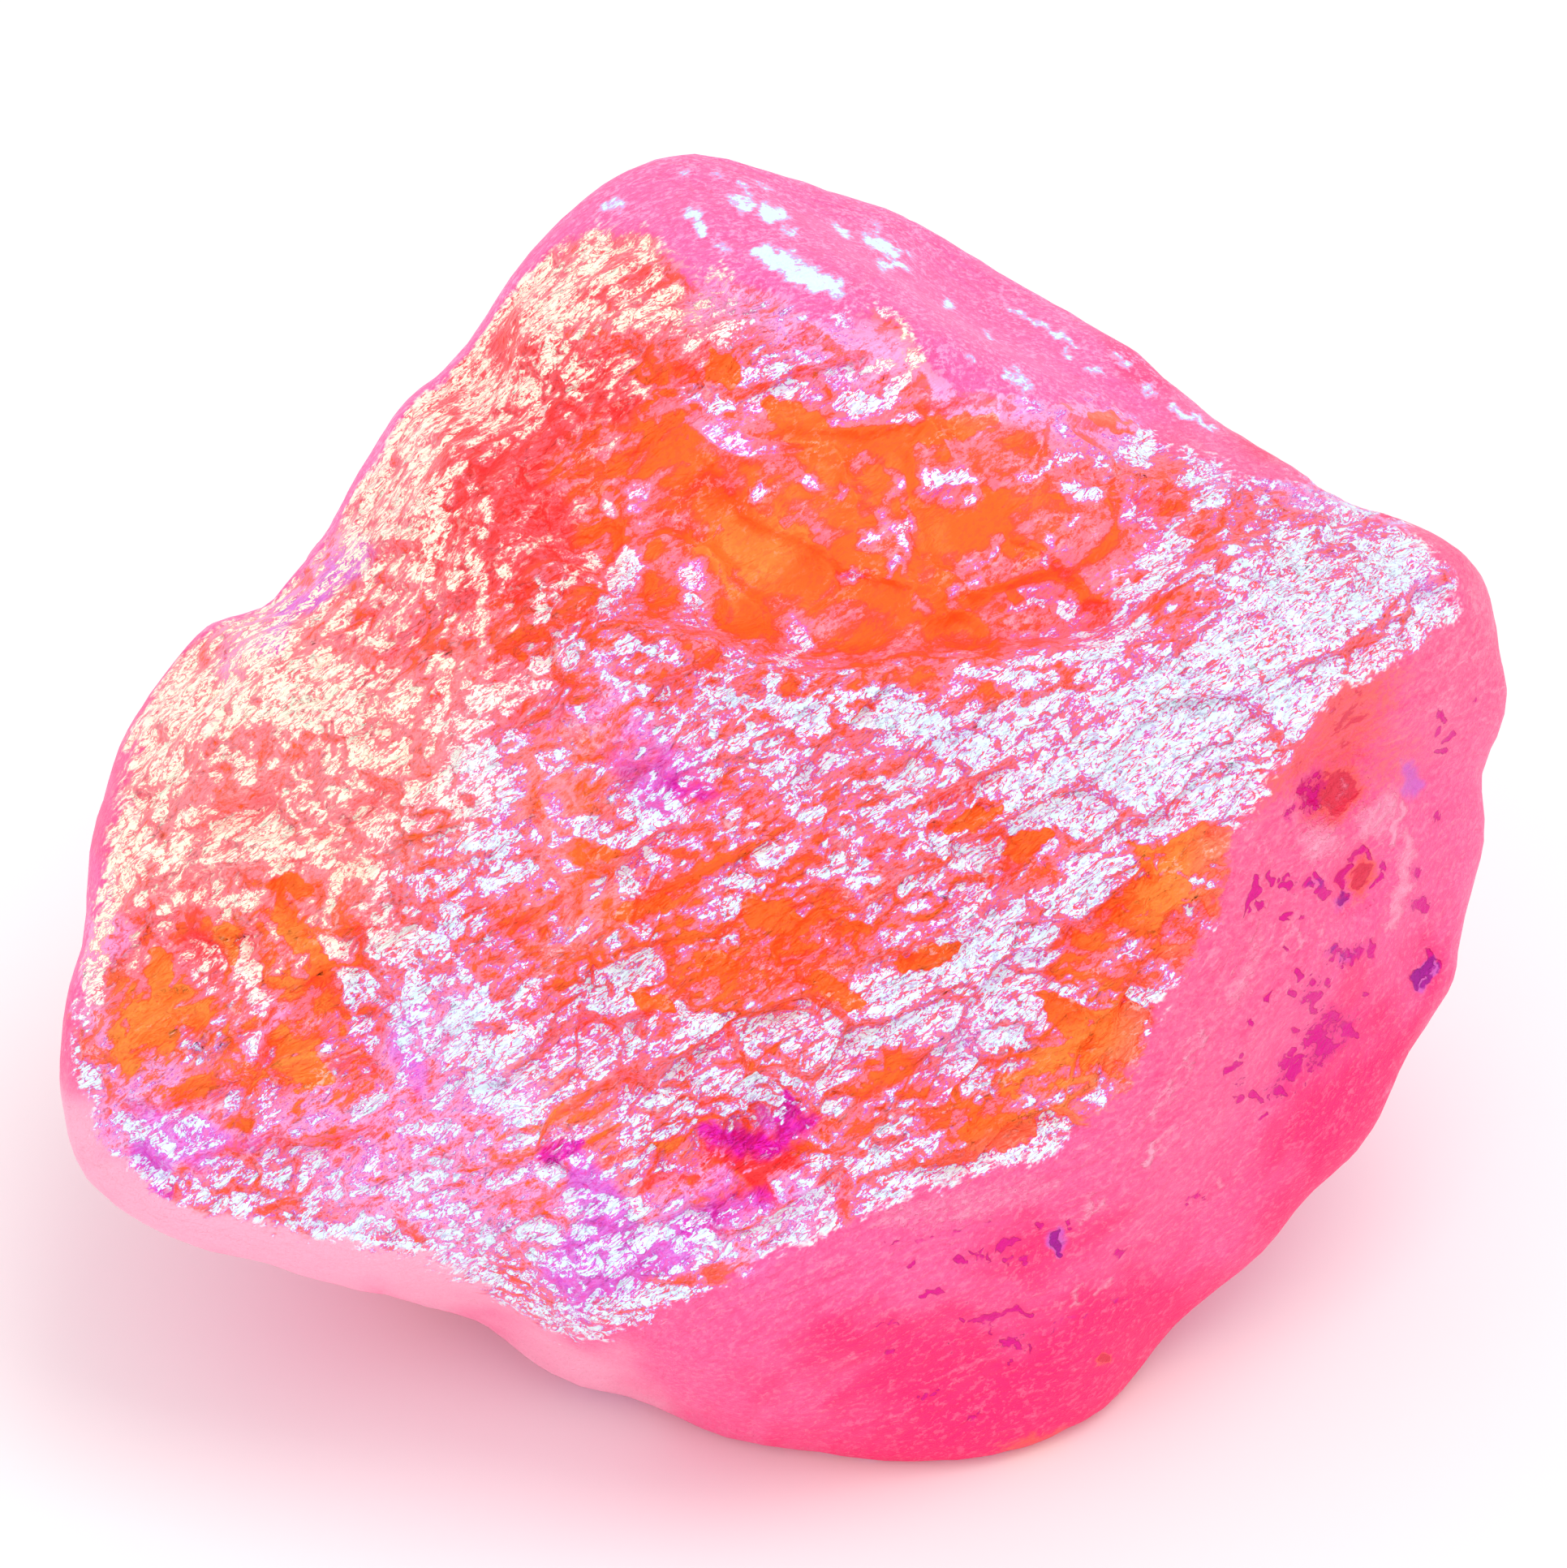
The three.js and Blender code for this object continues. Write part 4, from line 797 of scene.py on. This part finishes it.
class FinePatterns:
    """The patterns and masks that the break and the rind share."""

    def __init__(self, maker):
        self.spot = maker.break_spot(maker.node("ShaderNodeTexCoord", {}, {}, 3))
        drift = maker.node("ShaderNodeAttribute", {"attribute_name": "drift"}, {}, 1)
        drift = maker.vector("SUBTRACT", drift, (0.5, 0.5, 0.5))

        def pattern(cells, detail, curl=0.0):
            return maker.noise(maker.slanted(self.spot, *cells, drift), 1.0, detail, curl=curl) - 0.5

        self.mottle = maker.marked("mottle") - 0.5
        self.pucker = pattern(PUCKER, 3.0, 0.4)
        self.thread = pattern(THREAD, 2.0, 0.9)
        self.grit = pattern(GRIT, 1.0)
        self.grain = pattern(GRAIN, 1.0, 1.2)
        self.speckle = (self.grit + self.grain * 0.8 + self.pucker * 0.4).between(-0.3, 0.3) - 0.5
        self.hatch = self.thread.between(-0.14, 0.14) - 0.5
        self.hidden = maker.marked("hidden")
        self.hue = maker.noise(self.spot, 0.1, 2.0) - 0.5
        self.orchid = (maker.marked("orchid") + self.mottle * 0.7 + self.hidden * 0.7).between(0.2, 0.8)


def broken_face(maker, fine, paint):
    """The break: its tint runs from the hollows' orange to painted highlights on flakes that face the painted
    light, with painted shade on flakes that face away, and dips in thin creases as painted shade.
    """
    marked = maker.marked
    mottle, pucker, thread, grit = fine.mottle, fine.pucker, fine.thread, fine.grit
    warm = marked("warmth")
    calm = marked("basin").between(*SOFT_ZONE)
    violet = (marked("violet") + mottle * 0.8 + pucker * 0.5).between(*SOFT_ZONE)
    flush = (marked("flush") + mottle * 0.8 + pucker * 1.2).between(*SOFT_ZONE)
    gold = (marked("gold") + mottle * 0.6).between(0.2, 0.8)
    red = (marked("crimson") + mottle * 0.8).between(0.3, 0.75)
    magenta = (marked("magenta") + pucker * 0.5 + grit * 0.3).between(0.1, 0.8) * 0.9
    pocket = (marked("pocket") + pucker * 0.5 + grit * 0.3).between(0.3, 0.55)

    # The form is how bright a spot is painted, by its place and by its facing towards the painted light,
    # which paints highlights and shade on the flakes; the tint adds the fine patterns, and painted shade
    # along thin creases.
    facing = maker.vector("DOT_PRODUCT", maker.node("ShaderNodeNewGeometry", {}, {}, 1), PAINTED_LIGHT_WAY)
    level = marked("level") + mottle + fine.hidden * (fine.hue * 1.6 - 0.3)
    form = (level + (facing - marked("smooth_light_facing")) * 1.9).at_least(level * 0.75 - 0.12)
    form = form * (1 - pocket) - pocket * 0.12 - magenta * 0.25 + marked("glint_and_bar_lift")
    form = form.at_most(0.9)
    lively = form.between(-0.1, 0.35) * 0.8 + 0.2
    sheen = form.between(0.5, 0.85)
    crease = (1 - abs((pucker * 26.0).sine())).between(0.55, 0.95)
    seam = 1 - abs(thread - 0.04).between(0.01, 0.07)
    stir = pucker * 0.68 + fine.hatch * (0.22 - warm * 0.14) + grit * 0.5 + fine.grain * 0.65
    stir = stir * lively * (1 - sheen * 0.4 - calm * 0.3)
    tint = form + stir - crease * (lively * 0.1 + sheen * 0.25) - seam * sheen * 0.42
    bright = tint.between(*TINT_STEPS[-1])

    near_rim = (1 - marked("edge").between(0.2, 1.6)) * 0.35
    deep = maker.layered(
        paint.ember, (gold, paint.golden), (red, paint.crimson),
        (near_rim.at_least(fine.hidden * 0.85), paint.salmon),
        (violet * 0.7, paint.violet), (magenta, paint.magenta),
    )
    open_ground = maker.layered(
        paint.coral, (flush, paint.flushed), (fine.orchid * 0.9, paint.rose), (gold * 0.6, paint.ember),
        (red * 0.85, paint.crimson), (violet * 0.8, paint.violet), (magenta, paint.magenta),
    )
    ridge = maker.layered(
        paint.salmon, (flush * 0.6, paint.blush), (red * 0.6, paint.crimson), (fine.orchid, paint.petal),
        (violet * 0.6, paint.violet), (magenta, paint.magenta),
    )
    edge = maker.layered(paint.fringe, (warm, paint.blush), (violet * 0.7, paint.violet))
    rim = maker.blend(warm, paint.lilac, paint.peach)
    light = maker.blend(warm, paint.cool, paint.cream)
    steps = zip(TINT_STEPS, (open_ground, ridge, edge, rim, light))
    shade = (0 - fine.speckle).between(0.1, 0.4) * (0.2 + bright * 0.3)
    # Fine painted sparkles of the highlight colour are strewn over the duller ground, as far as the sparkle
    # share says.
    sparkle_share = (mottle + pucker * 0.6).between(-0.05, 0.25) * (1 - bright) * (1 - calm * 0.4)
    face_paint = maker.layered(
        deep, *((tint.between(*step), colour) for step, colour in steps),
        (shade, maker.blend(bright * (1 - warm * 0.7), paint.crimson, paint.shadow)),
        (fine.speckle.between(0.1, 0.45) * sparkle_share * 0.35, light),
    )
    return maker.node("ShaderNodeBsdfPrincipled", {}, {
        "Base Color": face_paint,
        "Metallic": (0.25 - bright * 0.25).at_least(magenta * 0.8),
        "Roughness": 0.4 - bright * 0.1,
        "Normal": maker.bump((abs(pucker) * 0.3 + thread * 0.08 + grit * 0.05) * (1 - calm * 0.7)),
        "Coat Weight": bright * 0.5,
        "Coat Roughness": 0.15,
        "Coat IOR": 1.6,
        "Specular IOR Level": 0.2,
        # Painted glow: the break glows in its own colours, and its painted highlights glow in the cool sheen.
        "Emission Color": maker.blend(bright * (1 - warm * 0.6), face_paint, paint.cool),
        "Emission Strength": FACE_PAINTED_GLOW,
    })


def worn_rind(maker, fine, paint):
    """The rind: smooth, with lines that flow along the rim of the break, soft folds and small pits."""
    marked = maker.marked
    mottle, pucker, thread, grit, grain = fine.mottle, fine.pucker, fine.thread, fine.grit, fine.grain
    speckle, hidden = fine.speckle, fine.hidden
    across, along = maker.node("ShaderNodeSeparateXYZ", {}, {0: fine.spot}, (0, 1))
    rim_distance = marked("rim_distance")

    def along_rim(scale, rise, curl=0.0):
        lifted = maker.node("ShaderNodeCombineXYZ", {}, {2: rise})
        scaled = maker.vector("MULTIPLY", fine.spot, (scale, scale, scale))
        return maker.noise(maker.vector("ADD", scaled, lifted), 1.0, 3.0, curl=curl) - 0.5

    flow = along_rim(0.3, rim_distance * 1.6)
    line = along_rim(0.5, rim_distance * 4.0 + mottle * 4.0, 0.5)
    # Painted shade: the rind is painted a deeper pink low on the right, further from the break and along the
    # top outline, where it is less lit; near the break on the right it stays a lighter salmon.
    hot_shade = (marked("hot") * 1.1 + flow * 0.9 + mottle * 0.5 + rim_distance * 0.03).between(0.1, 1.0)
    top = (along - across * 0.2 + mottle * 3.0).between(7.0, 14.0)
    patchy = (mottle + flow).between(-0.15, 0.25)
    near = (1 - (rim_distance + mottle * 2.0).between(0.5, 6.0)) * across.between(8.0, 15.0) * (1 - hidden)
    scratch = thread * (near + hidden * 0.6) * 0.6 + line + speckle * 0.1
    fold = (marked("fold") + speckle * 0.2 + line * 0.4).between(0.1, 0.9) * 0.6
    rust = (marked("rust") + mottle * 0.4 + speckle * 0.5).between(0.1, 1.1) * (1 - fold * 0.8)
    hollow = (marked("rust") + speckle * 0.2 + pucker * 0.9).between(0.95, 1.1)
    smudge = (marked("pitting") + mottle * 0.6 + pucker * 0.8).between(0.3, 0.95) * 0.5
    stain = (marked("stain") + mottle * 0.5 + pucker * 0.8).between(0.4, 1.1)
    specks = (marked("pitting") + hidden * (mottle * 2.0 + 0.5)) * 0.5
    specks = specks + pucker * 0.8 + grit * 0.9 + grain * 0.5 - 0.42
    pits = (marked("pits") + pucker * 0.4 + grit * 0.6 + grain * 0.3).between(0.34, 0.62)
    pits = pits.at_least(specks.between(0.0, 0.12))
    haze = top * (1 - hidden * 0.6) * (mottle * 1.2 + speckle * 0.9 + thread * 0.6).between(0.0, 0.55)
    # The top strip's streaks are painted highlights, running through petal and lilac to the cool sheen.
    strip_glint = marked("strip_glint")
    stir = pucker * 1.2 + grit * 1.2 + grain * 0.8 + fine.hatch * 0.2
    strip = strip_glint * 1.3 + stir * strip_glint.between(0.03, 0.3) - 0.6
    rind_paint = maker.layered(
        paint.rind,
        ((top * 0.8 + fine.orchid * 0.5).at_most(0.9), paint.orchid),
        (hot_shade * (1 - top * 0.45), paint.hot),
        (near * (1 - top) * 0.3, paint.salmon),
        (scratch.between(0.04, 0.3) * (patchy * 0.4 + near * 0.2 + hidden * 0.15), paint.pale),
        ((0 - scratch).between(0.04, 0.3) * (0.25 + near * 0.15), paint.hot),
        ((0 - speckle).between(0.1, 0.45) * 0.3, paint.hot),
        (speckle.between(0.15, 0.45) * 0.16, paint.pale),
        ((marked("pale") + mottle * 0.5).between(0.0, 0.8), paint.pale),
        (fold, paint.pale),
        (rust * 0.85, maker.blend(hollow, paint.brick, paint.rust)),
        (smudge, paint.pit),
        (stain * 0.75, paint.stain),
        (fine.hue.between(0.03, 0.16) * hidden * 0.55, paint.brick),
        ((0 - fine.hue).between(0.03, 0.16) * hidden * 0.6, paint.petal),
        (pits * 0.95, maker.blend((stain + pucker * 0.9).between(0.1, 0.7) * 0.8, paint.pit, paint.bruise)),
        (haze * 0.8, paint.petal),
        (strip.between(-0.5, 0.0), paint.petal),
        (strip.between(-0.1, 0.15), paint.lilac),
        (strip.between(0.1, 0.35), paint.cool),
    )
    return maker.node("ShaderNodeBsdfPrincipled", {}, {
        "Base Color": rind_paint,
        "Metallic": 0.15 + pits * 0.35,
        "Roughness": 0.45 + flow * 0.2,
        "Normal": maker.bump(flow * 0.3 + line * 0.1 - pits * 0.06 + speckle * 0.03 + fold * 0.1),
        "Specular IOR Level": 0.3,
        # Painted glow of the rind's own colours.
        "Emission Color": rind_paint,
        "Emission Strength": RIND_PAINTED_GLOW,
    })


def aura_material(paint):
    """The coating: a run of tints from orange through pink to painted highlights on the break, and pinks on
    the rind, both with a painted glow.
    """
    material = bpy.data.materials.new("aura coating")
    material.use_nodes = True
    tree = material.node_tree
    tree.nodes.clear()
    maker = Maker(tree)
    fine = FinePatterns(maker)
    edge = maker.marked("edge") + fine.pucker * (0.9 + fine.hidden * 2.0) + fine.grit * 0.7
    rind, face = worn_rind(maker, fine, paint), broken_face(maker, fine, paint)
    shader = maker.node("ShaderNodeMixShader", {}, {0: edge.between(-0.15, 0.22), 1: rind, 2: face})
    tree.links.new(shader.socket, tree.nodes.new("ShaderNodeOutputMaterial").inputs["Surface"])
    return material


def only(piece):
    """Selects one object and makes it the active one."""
    bpy.ops.object.select_all(action="DESELECT")
    piece.select_set(True)
    bpy.context.view_layer.objects.active = piece


def apply_modifier(piece, kind, **settings):
    """Adds a modifier with those settings and applies it."""
    only(piece)
    bpy.ops.object.modifier_add(type=kind)
    modifier = piece.modifiers[-1]
    for name, value in settings.items():
        setattr(modifier, name, value)
    bpy.ops.object.modifier_apply(modifier=modifier.name)


def triangles(mesh):
    return sum(len(face.vertices) - 2 for face in mesh.polygons)


class CHUNK_OT_stone(bpy.types.Operator):
    """Build the chunk's surface over its solid and coat it"""

    bl_idname = "aura_quartz.stone"
    bl_label = "Chunk"

    def execute(self, context):
        scene = context.scene
        piece = bpy.data.objects.new(CHUNK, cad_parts[CAD_NODE].data.copy())
        scene.collection.objects.link(piece)
        only(piece)
        bpy.ops.object.mode_set(mode="EDIT")
        bpy.ops.mesh.select_all(action="SELECT")
        bpy.ops.mesh.remove_doubles(threshold=MERGE)
        bpy.ops.mesh.customdata_custom_splitnormals_clear()
        bpy.ops.object.mode_set(mode="OBJECT")
        apply_modifier(piece, "SUBSURF", levels=DIVISIONS, render_levels=DIVISIONS)
        bpy.ops.object.shade_smooth()
        mark_hidden(piece.data)
        strokes = mark_zones(piece.data)
        apply_modifier(piece, "NODES", node_group=relief_modifier_tree(scene.chunk_shape))

        # The finest strokes keep every point that they have; the rest is thinned.
        plain = piece.vertex_groups.new(name="plain")
        plain.add(np.flatnonzero(strokes < FAINT).tolist(), 1.0, "REPLACE")
        ratio = scene.chunk_shape.faces / triangles(piece.data)
        apply_modifier(piece, "DECIMATE", ratio=ratio, vertex_group=plain.name)
        piece.vertex_groups.clear()
        for vertex in piece.data.vertices:
            vertex.co.z = max(0.0, vertex.co.z)
        mark_zones(piece.data)
        piece.data.materials.clear()
        piece.data.materials.append(aura_material(scene.chunk_colours))
        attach(piece, "root")
        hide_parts(CAD_NODE)
        return {"FINISHED"}


def soft_light(name, direction, distance, size, power):
    """An area light that looks at the chunk from a direction."""
    data = bpy.data.lights.new(name, "AREA")
    data.shape = "RECTANGLE"
    data.size, data.size_y = size
    data.energy = power
    lamp = bpy.data.objects.new(name, data)
    bpy.context.scene.collection.objects.link(lamp)
    away = Vector(direction).normalized()
    lamp.location = Vector(AIM) + away * distance
    lamp.rotation_euler = away.to_track_quat("Z", "Y").to_euler()


class CHUNK_OT_stage(bpy.types.Operator):
    """Lay the floor, set the lights and aim the camera"""

    bl_idname = "aura_quartz.stage"
    bl_label = "Stage"

    def execute(self, context):
        scene = context.scene
        settings = scene.chunk_stage
        bpy.ops.object.select_all(action="DESELECT")
        bpy.ops.mesh.primitive_plane_add(size=FLOOR_SIZE, location=(0, 0, 0))
        floor = context.active_object
        floor.name = "floor"
        pale = bpy.data.materials.new("pale floor")
        pale.use_nodes = True
        shader = pale.node_tree.nodes["Principled BSDF"]
        shader.inputs["Base Color"].default_value = (FLOOR_GREY, FLOOR_GREY, FLOOR_GREY, 1)
        shader.inputs["Roughness"].default_value = 0.9
        shader.inputs["Specular IOR Level"].default_value = 0.1
        floor.data.materials.append(pale)

        world = bpy.data.worlds.new("room")
        world.use_nodes = True
        world.node_tree.nodes["Background"].inputs["Color"].default_value = (1, 1, 1, 1)
        world.node_tree.nodes["Background"].inputs["Strength"].default_value = settings.world
        scene.world = world
        for light in LIGHTS:
            soft_light(*light)

        data = bpy.data.cameras.new("camera")
        data.lens = settings.lens
        data.sensor_width = 36.0
        data.clip_start = 0.01
        camera = bpy.data.objects.new("camera", data)
        scene.collection.objects.link(camera)
        towards = Vector((0, math.cos(settings.rise), -math.sin(settings.rise)))
        rightwards = Vector((1, 0, 0))
        upwards = rightwards.cross(towards)
        centre = Vector(AIM) + rightwards * CAMERA_OFFSET[0] + upwards * CAMERA_OFFSET[1]
        camera.location = centre - towards * settings.distance
        camera.rotation_euler = towards.to_track_quat("-Z", "Y").to_euler()
        scene.camera = camera
        scene.view_settings.view_transform = "Standard"
        return {"FINISHED"}


class CHUNK_PT_panel(bpy.types.Panel):
    """The sidebar panel with the settings and the two steps"""

    bl_label = "Aura Quartz"
    bl_space_type = "VIEW_3D"
    bl_region_type = "UI"
    bl_category = "Aura Quartz"

    def draw(self, context):
        for group in (context.scene.chunk_shape, context.scene.chunk_colours, context.scene.chunk_stage):
            box = self.layout.box()
            for name in group.__annotations__:
                box.prop(group, name)
        self.layout.operator(CHUNK_OT_stone.bl_idname)
        self.layout.operator(CHUNK_OT_stage.bl_idname)


CLASSES = (ChunkShape, ChunkColours, StageSettings, CHUNK_OT_stone, CHUNK_OT_stage, CHUNK_PT_panel)


def register():
    for cls in CLASSES:
        bpy.utils.register_class(cls)
    bpy.types.Scene.chunk_shape = bpy.props.PointerProperty(type=ChunkShape)
    bpy.types.Scene.chunk_colours = bpy.props.PointerProperty(type=ChunkColours)
    bpy.types.Scene.chunk_stage = bpy.props.PointerProperty(type=StageSettings)


def unregister():
    del bpy.types.Scene.chunk_stage
    del bpy.types.Scene.chunk_colours
    del bpy.types.Scene.chunk_shape
    for cls in reversed(CLASSES):
        bpy.utils.unregister_class(cls)


def main():
    register()
    bpy.ops.aura_quartz.stone()
    bpy.ops.aura_quartz.stage()


if __name__ == "__main__":
    main()
